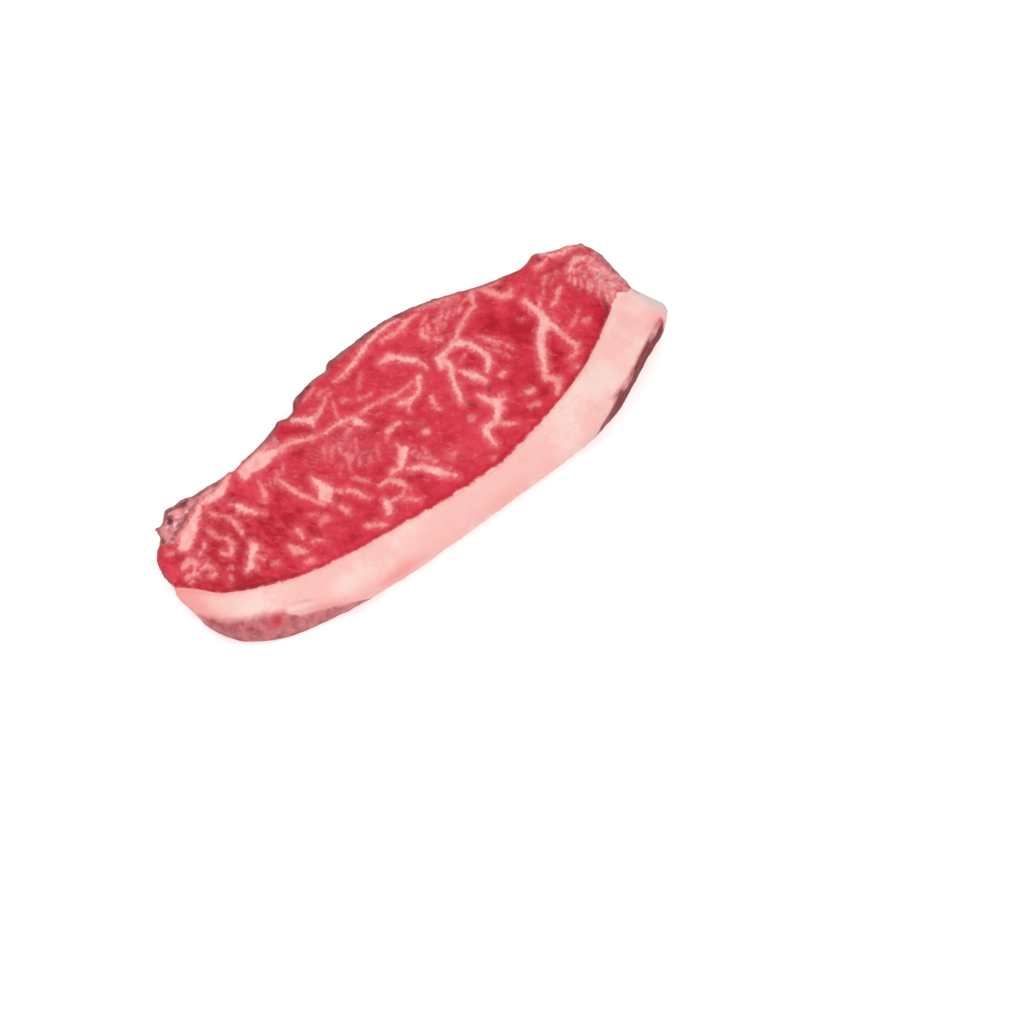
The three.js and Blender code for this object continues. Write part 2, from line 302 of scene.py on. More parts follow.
# The runs of fat that marble the cut face, from the tip to the blunt end, with two rows of painted highlights
# among them
MARBLING: tuple[Mark, ...] = (
    # the seam of fat between the two muscles, from the wedge at the back to the middle
    full((-38.5, 22.9, 2.6), (-36.5, 22.7, 1.7), (-34.1, 22.1, 1.3), (-31.3, 20.9, 1.1), (-28.6, 19.8, 1),
         (-25.8, 19, 0.9), (-23, 18.2, 1), (-20.2, 18.2, 1.1), (-16.9, 18.2, 1), (-14.7, 17.3, 1)),
    soft((-14.7, 17.3, 1), (-11.9, 16.7, 1), (-8, 16.8, 0.9), (-3.6, 16.2, 1.1), (0.3, 15.4, 0.9),
         (3.7, 14.6, 1.1), (6.4, 14.7, 0.8), (9.8, 15.1, 0.6)),
    # the tip
    faint((-88.8, 15.9, 1), (-87.6, 15.2, 1.4)),
    soft((-87.2, 8.6, 2), (-84.8, 9.6, 2.2), (-83.4, 7.4, 2.2)),
    soft((-88, 5.4, 1.8)),
    soft((-85.8, 4.4, 1.2), (-84.9, 4, 1.2)),
    soft((-83, 4.6, 1.2), (-80.8, 4.7, 1.8), (-79.9, 2.5, 1.2)),
    soft((-81.5, 0.7, 1.8), (-80.8, 0.5, 1.4)),
    soft((-78.4, 10.2, 0.9), (-77.6, 11.1, 1.5)),
    faint((-73.9, 14.5, 0.8), (-73.2, 11.7, 1.4), (-72.3, 9.4, 1.6)),
    soft((-69.8, 18.8, 0.9), (-68.5, 16.3, 1.1), (-66.4, 14.9, 1.2), (-65.5, 12.6, 1.6), (-65.3, 9.5, 1.3),
         (-65.5, 6.7, 0.9)),
    soft((-70.7, 7.8, 1), (-70.3, 5.8, 1.4), (-71.2, 4.5, 1.7), (-72.5, 3.1, 1.6), (-73.9, 3.8, 1.4),
         (-74.5, 5.1, 0.9)),
    full((-62.6, 17, 0.7), (-61.2, 14.9, 1.5), (-59.6, 12.2, 1.9), (-58.2, 9.9, 1.6), (-56.2, 8.3, 0.6)),
    soft((-63, 13.2, 0.6), (-61.6, 13.8, 1.2)),
    soft((-50.6, 18.4, 0.7), (-51.1, 15.4, 1.3), (-51.8, 13.1, 1.7), (-53.1, 11, 0.7)),
    full((-71.7, -5, 1), (-69.9, -4.3, 2), (-68.4, -2.4, 2), (-66.9, -0.9, 2.2), (-65.3, 0.2, 3),
         (-65, 1.9, 1.4)),
    soft((-66.4, -2.2, 1.4), (-65.2, -4.9, 0.7)),
    faint((-77.4, -3.6, 1.5)),
    faint((-75.8, -0.6, 1), (-74.9, -1.2, 1)),
    faint((-69.2, -6.3, 1.1), (-68.2, -6.2, 1.1)),
    faint((-63.6, -7.9, 1.4), (-62.4, -8.6, 1.6)),
    soft((-50.9, -3.2, 1.4), (-50.6, -5, 1.7), (-51, -6.6, 0.9)),
    soft((-55.8, -7.2, 2.2), (-55, -8.9, 3.4), (-53.6, -10.6, 1.9), (-52.6, -11.8, 0.7)),
    soft((-54.9, -14.6, 1.3), (-53.4, -14.7, 1.9)),
    soft((-48.9, -9.9, 0.8), (-47.2, -10.8, 1.5), (-46.3, -11.4, 0.8)),
    faint((-43.4, -6.6, 1.5), (-41, -6.3, 2.8)),
    faint((-44.4, -1.9, 1), (-42.7, -2.8, 1.3)),
    # left of the middle
    soft((-45.2, 14.4, 0.8), (-44.4, 11.2, 1.3), (-43.8, 8.6, 1.5), (-42.8, 5.8, 1.6), (-41.4, 3.4, 1.2),
         (-39.7, 0.3, 1.1), (-38.2, -2, 1.2)),
    Patch(((-36.2, 8.3), (-34.7, 5), (-33.3, 2.2), (-32.7, 0.1), (-34.7, -0.6), (-36.4, -3.4), (-38, -1.8),
           (-39.1, 0.3), (-37.3, 2.8), (-36.9, 5.6))),
    soft((-32.8, -0.2, 1.3), (-30.8, -2.1, 1.1), (-28.9, -3.1, 1.7), (-27.4, -5.4, 1.8), (-26.6, -7.7, 1.3),
         (-25.7, -9.2, 0.7)),
    soft((-34.6, -6, 1.4), (-34, -8.2, 2)),
    soft((-32.2, -15.9, 0.8), (-29.7, -17.7, 1.5), (-27.1, -19.6, 1.2)),
    full((-21.8, -12.9, 1.2), (-22.3, -14.6, 2.8), (-23.2, -16.6, 2)),
    soft((-21.9, -14.2, 1.4), (-19.1, -14.9, 1.2), (-16.3, -14.9, 1), (-14.5, -14, 0.7)),
    soft((-19.9, -7.7, 0.9), (-16.9, -7.9, 1.5), (-14.9, -10.2, 1.8), (-13.8, -12.7, 1.4),
         (-13.2, -15.2, 0.8)),
    soft((-18.2, -16.2, 0.7), (-15.2, -17.9, 1.1), (-13.1, -19.8, 0.8)),
    full((-14.4, -6.6, 1), (-11.3, -7.1, 1.6), (-9.2, -5, 2.4), (-7, -3.2, 2.9), (-5.7, -2.4, 1.4)),
    soft((-7.3, 0.4, 0.7), (-6.9, -2.1, 1.2)),
    full((-9.4, -9, 1), (-7.6, -10, 1.8), (-5.8, -11, 1.6), (-4.1, -13.2, 2.2), (-2.4, -15.7, 2),
         (-0.8, -17.9, 1.8), (1.1, -20.1, 1.2)),
    faint((-25.3, -0.3, 0.9), (-24.1, -2.1, 1.8), (-22.3, -3.9, 1)),
    Patch(((-13.6, 17), (-11.9, 16.6), (-10.6, 11.4), (-12.2, 12.9), (-14.2, 14.6))),
    faint((-16.2, 14.3, 1.2), (-18.8, 12.8, 1.6)),
    faint((-22.4, 7.8, 1.5), (-22.2, 6.2, 2.1)),
    soft((-8.1, 4.7, 1.2), (-6.6, 5.7, 1.9), (-4.2, 6.1, 1.1), (-1.7, 6.6, 0.8)),
    # the back lobe
    full((-29.2, 28.7, 0.9), (-26.3, 26.2, 1.5), (-24.4, 24.8, 2.4), (-24.7, 23, 1.2)),
    soft((-23.8, 24.4, 2), (-20.8, 25, 2), (-17.9, 26.4, 1.4), (-15.6, 28.4, 0.8), (-13.6, 28.5, 0.8)),
    faint((-17, 19.8, 0.7), (-16.1, 22.3, 1.1), (-15.1, 25.3, 0.7)),
    faint((-17.4, 30.5, 0.9), (-15.9, 30.6, 1.2), (-13.4, 30.2, 1)),
    faint((-22.4, 31.8, 0.8), (-20, 32.6, 1.4), (-17, 33.4, 0.8)),
    soft((27, 35.6, 0.6), (32, 34.2, 1.1), (37, 32.4, 1.2), (41, 31, 0.6)),
    soft((47, 28.8, 0.6), (51, 27.4, 1.2), (55.6, 26.6, 0.7)),
    full((-9.9, 30.8, 0.8), (-6.9, 31, 1), (-3.6, 31.9, 0.9), (-0.8, 32.6, 1.2), (2, 33.7, 1.6),
         (5.3, 34.9, 1.3), (8.7, 35.9, 1.2), (12.4, 36.7, 1.3), (16.4, 36.9, 1.2), (20.3, 36.4, 0.7)),
    soft((11.4, 33.4, 0.9), (15.9, 33.1, 1.5), (19, 33, 1.7), (22, 34, 1.4), (26.3, 33.7, 0.9)),
    faint((-10.2, 22.3, 0.8), (-7.2, 20.9, 1.3)),
    faint((-4.7, 20.3, 1.2), (-3.5, 19.9, 1.2)),
    faint((-11.9, 23.6, 1.2), (-10.9, 23.2, 1)),
    faint((-4.9, 24.4, 0.8), (-1.8, 27.9, 1)),
    full((6, 27.1, 1.3), (9.6, 26.9, 2.3), (11.9, 24.7, 2.1), (13.8, 22.4, 1.9), (15.7, 20.8, 1.4)),
    soft((16.2, 19.4, 1.2), (17.2, 17, 1.6), (17.4, 15, 0.7)),
    full((2.5, 11.4, 1.2), (4.8, 10.3, 2.3), (7.6, 10.2, 1.4), (9.9, 11, 1.4), (11.8, 12.9, 1),
         (12.8, 14.8, 0.6)),
    soft((4.5, 9.6, 1.4), (3.2, 7.3, 0.8)),
    soft((11.8, 6.9, 0.9), (11.5, 4.6, 1.8), (10.9, 2.2, 1.4), (12, 0.9, 0.7)),
    faint((0.7, 4.2, 0.7), (3.5, 1.1, 0.9)),
    soft((2.6, -1.8, 1.3), (3.4, -2.7, 1.4)),
    faint((-3.6, -7, 1.2)),
    faint((-1.4, -8, 1.4), (-1.2, -6.2, 0.9)),
    faint((4, -12.4, 0.8), (5.8, -13.8, 1.1)),
    faint((1.4, -17.3, 1.3)),
    # the ring and what hangs from it
    full((21, 13.6, 1.3), (22.4, 16, 2.3), (25.3, 16.8, 1.6), (28.7, 17.4, 2.1), (31.5, 16.6, 2.1),
         (33.3, 14.4, 1.6), (34.8, 11.6, 1.7), (35.6, 8, 2), (34.9, 4.8, 1.7), (32.4, 3.1, 0.8)),
    full((23.2, 15, 1.8), (23.6, 11.4, 2), (22, 8.4, 1.8), (20.6, 5.1, 1.8), (19.8, 1.8, 1.6),
         (18.8, -0.7, 1)),
    full((25, 8.3, 0.8), (26.6, 5.8, 2), (28.4, 3.2, 2.6), (29.6, 0.8, 1.3)),
    faint((27.3, 11, 0.7), (30, 12.3, 0.8)),
    soft((29.6, 18, 2.4), (32.6, 19.6, 1.5), (35.3, 21.3, 1.9), (38.1, 22.7, 1.7), (40.9, 23.6, 1.4),
         (43.5, 24.3, 1.4), (44.7, 26.8, 1.9), (46, 29, 2.2)),
    soft((49.2, 27.6, 1.6), (51, 25.2, 2.2), (53, 21.9, 2.4), (55.4, 20.2, 2.4), (57.8, 22, 1.2)),
    soft((23.4, 26.2, 1.4), (24, 24, 1.2)),
    soft((25.8, 22.9, 1.2), (26.9, 21.3, 1.6)),
    faint((25.6, 29.9, 0.8), (28.8, 31.4, 1.3)),
    faint((29.2, 26.6, 1), (31.4, 25, 1.2)),
    faint((40.6, 27.4, 0.8), (43.2, 28, 1)),
    # the forked run in the middle
    full((24.9, -2.8, 0.9), (26.2, -5.6, 1.9), (28, -8, 3), (27, -10.2, 2.6), (25.2, -12, 2.2),
         (23.4, -13.8, 1.9)),
    full((28.4, -8, 1.8), (31.2, -8.7, 0.8)),
    full((23.4, -13.6, 1.7), (20.3, -12.7, 1.9), (18.8, -14.4, 1.9), (18.5, -17.2, 1.6), (18.1, -19, 1.5)),
    soft((23.8, -14.4, 1.5), (26.4, -16.5, 1.4), (28.8, -17.9, 0.7)),
    faint((17.2, -7.2, 1.6), (18.4, -7.8, 1.3)),
    faint((30.2, -6.8, 0.9), (32.2, -7, 0.8)),
    soft((35, -1, 1.5), (36.7, -0.9, 1.7)),
    soft((38, -11.2, 1.2), (40, -11.9, 1.5)),
    faint((35.8, -16, 1), (37.6, -16.4, 1.3), (39, -17.2, 0.7)),
    faint((15, -23.2, 1.3)),
    # the big forked run at the blunt end
    full((58.3, 15.6, 1.3), (58.8, 12, 2), (59.2, 9, 2.3), (59.2, 6, 3.2), (58, 3.8, 3.6), (55.4, 2.9, 2.7),
         (53, 0, 2.5), (51.4, -3, 2.4), (49.5, -6, 2.2), (47.4, -9, 1.9)),
    soft((47.4, -9, 2), (46.2, -10.9, 2), (48.1, -12.8, 2.4), (48.8, -14.4, 2.2), (47.4, -16.2, 1.8),
         (46, -18.3, 1.1)),
    full((58.6, 4.6, 2.4), (60.2, 2.4, 2.2), (60.2, 0.8, 1.6)),
    soft((59.2, 4.4, 1.9), (59.7, 1, 1.7), (60.6, -2, 1.6), (61.1, -5.5, 1.5), (61.7, -8.2, 1.9),
         (60.2, -10, 1.4), (57, -10.6, 0.8)),
    soft((60.2, 10.6, 1.2), (61.4, 11.6, 1), (63, 12.8, 0.7)),
    faint((61.8, 4.8, 0.8), (62.4, 2.6, 1)),
    faint((61.3, -1.6, 0.7), (62.6, -3, 0.8)),
    soft((64.2, 8.3, 0.8), (66.8, 9, 1.5), (69.2, 11.3, 1.5), (70.8, 12.1, 0.7)),
    faint((64.4, -1.5, 0.8), (67.2, -0.4, 1.1), (70.4, 1.8, 0.8)),
    faint((69.3, -2.4, 1.2), (70.6, -3, 1.5)),
    soft((57.1, -14.2, 1.6)),
    faint((53.6, 10.6, 1.3), (52.8, 11.2, 0.8)),
    full((76.8, 14.9, 0.9), (79.4, 16.4, 1.7), (82.2, 17, 2.1), (84.6, 15.8, 1.1)),
    faint((66.6, 16.2, 1), (69.2, 18.2, 1.3)),
    # painted highlights: two rows of short pale strokes that stand in for glints on the wet surface
    *combed((38.4, 13.6), (43.6, 6.2), 5, 3, -62, 0.8, SOFT),
    *combed((37.6, 9), (41, 4), 3, 2.4, -62, 0.8, FAINT),
    *combed((30, 28.6), (41, 25), 6, 2.6, 28, 0.7, SOFT),
    *combed((33.6, 32.2), (43.4, 28.6), 5, 2.2, 24, 0.6, FAINT),
    *combed((24, 28.2), (28.6, 25.4), 3, 2.2, 50, 0.8, SOFT),
    *combed((-28, 12.6), (-18, 8), 5, 3.2, 55, 0.7, FAINT),
    *combed((-27, 5), (-14, 1), 5, 3, 55, 0.7, FAINT),
    *combed((-50, 14.6), (-42, 16.6), 5, 2.4, 60, 0.8, FAINT),
    *combed((-88, 3.4), (-80, 8.8), 4, 1.8, 20, 1, SOFT),
    *combed((-4.6, -5.6), (-1, -12.4), 4, 2, -20, 0.8, SOFT),
    *combed((76, 10.6), (81, 3.6), 5, 2.6, 58, 0.8, SOFT),
    *combed((75.6, 12.8), (80.4, 14.2), 3, 2.2, 30, 0.8, SOFT),
    *combed((62.4, 13.4), (73, 16.8), 4, 2.8, 32, 0.7, FAINT),
)

# Membrane, paler and thinner than the fat: the strips at the back of the tip, and the lip of the blunt end
MEMBRANE: tuple[Mark, ...] = (
    full((-71.4, 22.6, 1.8), (-73.9, 20.6, 2.9), (-77.1, 18.6, 3.6), (-80.3, 16.6, 4.2), (-82.6, 14.9, 4)),
    full((-69.4, 22.9, 1.8), (-66.2, 22.7, 3.3), (-63.4, 22.7, 3.2), (-60.2, 24, 2.5), (-57.6, 25.8, 1.5)),
    Patch(((-55, 25.4), (-48.5, 26.4), (-44.4, 27.2), (-42.8, 25), (-39.6, 23.6), (-37.6, 22.2),
           (-43.5, 21.4), (-48.9, 21), (-54.1, 21.5))),
    soft((-41.8, 26.6, 1), (-40.2, 25.6, 0.8)),
    soft((-86.2, 24, 2.6), (-85.4, 22.2, 2.4)),
    soft((-78.2, 26.4, 2.2), (-77.6, 25, 1.8)),
    soft((-67.4, 25.6, 1.8), (-64.6, 25.9, 1.6)),
    Patch(((79.8, -6), (81, -2.4), (82, -0.6), (83.4, 1.4), (84.6, 0.4), (85.2, -1.6), (86.6, -1.4),
           (87.4, 0.4), (88.6, -0.4), (89.4, -2), (90, -6))),
    full((73.4, 25.4, 1.4), (75.2, 23.6, 1.9), (77.4, 22.4, 1.3)),
    soft((68.4, 22.6, 0.8), (70.8, 22.4, 1.2), (73.6, 23, 0.8)),
    full((77, 23, 1.1), (79, 21.3, 1.7), (81.6, 22, 1.4), (84.2, 21.5, 1)),
    soft((83.2, 11.8, 1.6), (84.6, 13.6, 1.4)),
    soft((80.6, -2.6, 0.8), (81.4, -0.4, 1.3), (82.4, 1.6, 1.2), (83.2, 3.6, 0.6)),
    soft((82.2, 7.4, 0.8), (83.4, 9.6, 1.2), (83.8, 11.4, 0.8)),
    soft((86.4, 4.4, 1), (86.8, 8.4, 1.6), (86.2, 11.4, 1)),
    Patch(((84, 20.6), (86.5, 19), (88.4, 20), (86.6, 22.4)), SOFT),
)

# Torn greyish tissue: the flap at the back of the tip, and the blunt end beyond the fat
TISSUE: tuple[Mark, ...] = (
    Patch(((-88.2, 26.6), (-82, 26.6), (-79.6, 30), (-70, 30), (-57.5, 29), (-57, 26.6), (-60, 24.9),
           (-64, 23.7), (-69.4, 23.5), (-72, 23.1), (-78, 19.8), (-83.4, 17.6), (-86.4, 18.6),
           (-89, 20.4))),
    Patch(((80.6, -2.8), (81.6, 0.6), (81.4, 4.4), (82.4, 8.6), (83.2, 12), (84.6, 13), (85.6, 9.6),
           (86.8, 6), (87, 2), (88.4, -2.2), (84.6, -3.4))),
    Patch(((84.6, -3.6), (85, 2), (84.6, 9), (84, 14), (86, 16.4), (93, 15), (94, 2), (93, -6)), SOFT),
    Patch(((-45, 28.4), (-38, 29.6), (-36.4, 25.4), (-39, 23.8), (-43.4, 24.6)), SOFT),
    soft((84, 20.6, 1.2), (87.4, 20.6, 2)),
    soft((77.2, 4.2, 1), (79.4, 6.2, 1.8), (80.8, 8.8, 1.2)),
    soft((79, 1.6, 1), (80.8, 4.4, 1.8), (82, 6.4, 1.2)),
    soft((79.6, 10, 0.7), (81.8, 11.4, 1.1)),
)

# What is darker than the meat round it: dried blood, and painted shade in folds and along the thin ridges at
# the rim
DRIED_BLOOD_AND_SHADE: tuple[Mark, ...] = (
    full((-81.7, 24.7, 2.2), (-80.9, 26.2, 2.4)),
    full((-80.6, 28.6, 1.4), (-77.6, 28.2, 1.8), (-75.2, 27.8, 2.4), (-72.6, 27.4, 1.4)),
    full((-87.3, 26.4, 1.2), (-87.3, 23, 1.2), (-87.4, 20.4, 1.4)),
    # a painted shadow line under the membrane strip at the back of the tip
    soft((-84.6, 19.2, 1.2), (-81.6, 20.4, 1.5), (-78, 21.8, 2.2), (-74.8, 23.4, 1.6), (-71, 24.4, 1)),
    soft((-70, 26.9, 1.2), (-64, 26, 1.6), (-60, 26.4, 1.2)),
    soft((54.3, 24.4, 2.6)),
    soft((71.7, 24.6, 2.8)),
    # painted shade in a fold near the blunt end
    faint((69.6, 19.9, 0.7), (73.4, 18.6, 1.1), (78, 18.2, 1.3), (82.4, 18.8, 1.1), (85.6, 19.6, 0.6)),
    full((73, -7.6, 0.6), (76.4, -5.4, 1.3), (78.8, -3.2, 1.7), (80.2, -0.6, 1)),
    faint((85.6, -0.4, 1.2), (86.8, -2.2, 1.6)),
    faint((46, -19.4, 1), (54, -17.6, 1.6), (60, -15.4, 2.2), (67, -12, 1.8), (72, -9.4, 1.2)),
    faint((-82, -5.6, 1.6), (-75, -9.4, 2), (-68, -12.6, 1.6), (-60, -15.6, 1)),
    faint((60.9, 8.2, 1.4), (61.1, 6.2, 1)),
    faint((60.8, 1.6, 1.2), (61.6, 0.4, 1)),
    faint((-33.4, -3.4, 1.2), (-34.6, -3, 1.6)),
    faint((20.2, -2.2, 1.6), (21.4, -4.4, 1.2)),
    faint((29.6, -1.6, 1.8), (28.8, -3.2, 1.4)),
)

# Where the rim is darkened: a crust of dried blood, and painted shade where the back rim turns away
RIM_CRUST_AND_SHADE_CLOUDS = clouds(
    (10, 40, 46, 9, 1.2), (-68, 28, 7, 4, 0.9), (-80, 29, 7, 4, 0.5), (-88, 24, 2.5, 6, 0.7),
    (-44, 30, 14, 4, 1.1), (-24, 36, 6, 4, 0.9), (60, 28, 24, 4, 0.6), (88, 20, 5, 5, 0.6),
    (90, 8, 2, 9, 0.6), (-94, 12, 2, 8, 0.3),
)

# Meat that is a deeper red (above nothing) or a brighter one (below it)
DEEP_CLOUDS = clouds(
    (50, 7, 6, 7, 0.75), (44, 14, 5, 5, 0.3), (51, 18, 4, 5, -0.7), (-70, 4, 17, 13, 0.62),
    (-22, -8, 14, 8, 0.15), (-68, 8, 8, 6, 0.35), (-72, -6, 8, 5, 0.3, -30), (-48, -8, 6, 5, 0.25),
    (-42, -14, 5, 3, -0.3), (-57, -14, 5, 2, -0.3), (86, 5, 4, 9, -0.6), (54, -6, 4, 7, 0.45),
    (66, -9, 8, 4, 0.5, 20), (78, -3, 3, 4, 0.6), (-70, -9, 13, 3.5, 0.4, -22), (-69, 6, 4, 3, 0.6),
    (-76, 8, 3, 4, 0.4), (-58, 4, 4, 4, 0.35), (-56, 17, 2.4, 3, -0.8), (-92, 12, 3, 6, -0.4),
    (-17, -1, 4, 3, -0.5), (-6, -15, 6, 6, 0.2), (33, -16, 10, 4, 0.2), (30, 9, 4, 4, 0.2),
    (66, 20, 9, 4, -0.4), (12, -14, 12, 10, -0.25), (-30, 24, 6, 4, 0.2), (-40, 12, 6, 5, 0.15),
)

# Where the meat is dull and greyed by fine sinew, and broken up by light flecks
FROTH_CLOUDS = clouds(
    (84, 8, 4.5, 8, 1.3), (79, 7, 3, 5, 0.7, 60), (78, 15, 6, 4, 0.6), (27, 25, 6, 6, 0.8),
    (37, 28, 7, 4, 1), (41, 10, 3.5, 5, 0.8, -60), (-46, 14, 6, 6, 0.8), (-22, 9, 10, 6, 0.7),
    (-9, 4, 9, 6, 0.6), (-32, 14, 8, 5, 0.7), (-20, 29, 6, 6, 0.6), (35, 33, 7, 3, 0.9, -25),
    (52, 27, 7, 2.5, 0.7), (65, 21, 4, 3.5, 0.8), (80, 23, 6, 2, 0.6, -20), (-84, 6.5, 5, 6, 1.1),
    (-70, 12, 6, 6, 0.6), (-3, -8, 4, 5, 0.8), (4, -14, 6, 4, 0.9), (70, 17, 8, 4, 0.5), (61, 3, 3, 9, 0.8),
    (79.5, 2, 2.5, 5, 0.9, -20), (77, 12, 4, 3, 0.7), (-20, 13, 8, 3, 0.7), (-18, 3, 5, 4, 0.6),
    (-5, 12, 6, 3, 0.5), (6, 24, 6, 4, 0.4), (17, 19, 3, 4, 0.5), (24, -3, 5, 5, 0.4), (-76, 13, 7, 6, 0.3),
    (36, 8, 4, 9, 0.3),
)

# Where the lean's colour is frayed over the seam
FRAYED_CLOUDS = clouds(
    (6, -25, 20, 8, 0.5),
)

# Where the cut fat is paler (above nothing) or pinker (below it), and one painted highlight along the lip of
# the skin
PALLOR_AND_HIGHLIGHT_CLOUDS = clouds(
    (-78, -16, 6, 3), (-44, -28, 8, 3, 0.7), (58, -23, 14, 5, 1.5), (36, -29, 8, 4, 0.5),
    (-54, -22, 7, 4, -0.7), (-6, -30, 14, 4, -0.6), (14, -32, 14, 4, -0.7),
    # a painted highlight along the lip of the dried skin
    (-63.5, -26.4, 7, 1.1, 1.2, -27),
)

# Where it is pinker towards its outside: its own pink, and painted shade where the fat turns away
BLUSH_AND_EDGE_SHADE_CLOUDS = clouds(
    (87, -17.5, 6, 2.5, 0.5, 20), (-34, -36, 10, 3, 0.7), (-59, -30, 10, 2.2, 0.7, -27),
    (80, -12, 6, 5, 0.4), (85.5, -4.6, 3, 2, 0.25), (12, -35, 12, 3, 0.3),
)

# Red marks on its outside, and a painted shadow line above the lip of the skin
FLUSH_AND_SHADOW_CLOUDS = clouds(
    (-73.6, -23.2, 2, 1.4, 0.62, -15), (-74.6, -24.4, 5.4, 2.6, 0.42, -20), (88, -18.6, 3.4, 1.2, 0.4, 20),
    # a painted shadow line above the lip of the dried skin
    (-63.5, -24.4, 6, 0.8, 0.26, -28),
)

# Where it is greyed: its end, and a spot on the cut
ASH_CLOUDS = clouds(
    (92.4, -11, 8, 2.6, 1.3, -70), (89.6, -3.4, 3, 1.6, 0.8, -70), (29, -30.5, 1.4, 1.2, 0.35),
)

# Where the dried skin at the tip is darker
BRINK_CLOUDS = clouds(
    (-89, -15, 3, 6, 0.5, 20),
)

# Small steps, nicks and swells in the rim of the lean
LEAN_STEPS: tuple[Push, ...] = (
    Push(-83.6, 26.2, 1.6, 1.6, dx=0.4, dy=-1.2),
    Push(-79.6, 27.8, 1.8, 1.8, dx=-0.6, dy=1.4),
    Push(-74.0, 27.8, 2.6, 2.6, dy=1.0),
    Push(-65.0, 27.0, 8.0, 2.6, dy=0.6),
    Push(-57.2, 25.8, 1.6, 1.6, dx=0.3, dy=0.8),
    Push(-54.8, 25.6, 1.2, 1.2, dy=-0.7),
    Push(-33.4, 30.4, 1.5, 1.5, dy=0.6),
    Push(-30.4, 30.6, 1.4, 1.4, dy=-0.5),
    Push(-23.6, 33.6, 2.2, 2.2, dx=-0.3, dy=0.8),
    Push(-27.6, 31.4, 1.6, 1.6, dx=0.3, dy=-0.5),
    Push(-10.6, 36.8, 1.6, 1.6, dx=0.2, dy=-0.5),
    Push(-7.0, 37.8, 1.6, 1.6, dx=-0.2, dy=0.5),
    Push(12.0, 42.0, 42.0, 7.0, dx=-0.1, dy=-1.0),
    Push(50.0, 32.0, 12.0, 6.0, dy=-0.7),
    Push(71.4, 26.2, 2.2, 2.2, dy=0.9),
    Push(90.0, 12.0, 3.0, 16.0, dx=0.8),
    Push(-95.0, 8.0, 3.0, 10.0, dx=0.3),
    Push(-89.0, 20.0, 4.0, 5.0, dx=-0.6, dy=0.5),
    Push(-78.0, 29.0, 6.0, 3.0, dy=0.6),
    Push(-4.0, 38.5, 6.0, 3.0, dy=0.5),
)

# The drawn-in outside of the fat, and its rounded corner at the blunt end
FAT_STEPS: tuple[Push, ...] = (
    Push(0.0, -42.0, 48.0, 6.0, dy=1.6),
    Push(76.0, -30.0, 24.0, 5.0, turn=25, dx=-0.4, dy=1.3),
    Push(-95.0, 0.0, 3.0, 16.0, dx=0.3),
    Push(-84.0, -25.0, 12.0, 5.0, turn=-40, dx=-0.5, dy=-0.6),
    Push(56.5, -36.0, 9.0, 4.0, turn=18, dx=-0.3, dy=1.4),
    Push(82.0, -24.0, 8.0, 4.0, turn=28, dx=-0.2, dy=0.5),
    Push(94.8, -17.6, 1.6, 1.6, dx=-0.9, dy=0.5),
    Push(93.6, -13.2, 2.0, 2.4, dx=0.5),
    Push(92.2, -20.0, 1.8, 1.8, dx=0.4, dy=-0.5),
)


def shade(red: int, green: int, blue: int) -> Colour:
    """A colour for a shader, from the one seen on a screen.

    Args:
        red: The red seen, from 0 to 255.
        green: The green seen.
        blue: The blue seen.

    Returns:
        The linear colour.
    """
    seen = [c / 255 for c in (red, green, blue)]
    return tuple(c / 12.92 if c <= 0.04045 else ((c + 0.055) / 1.055) ** 2.4 for c in seen)


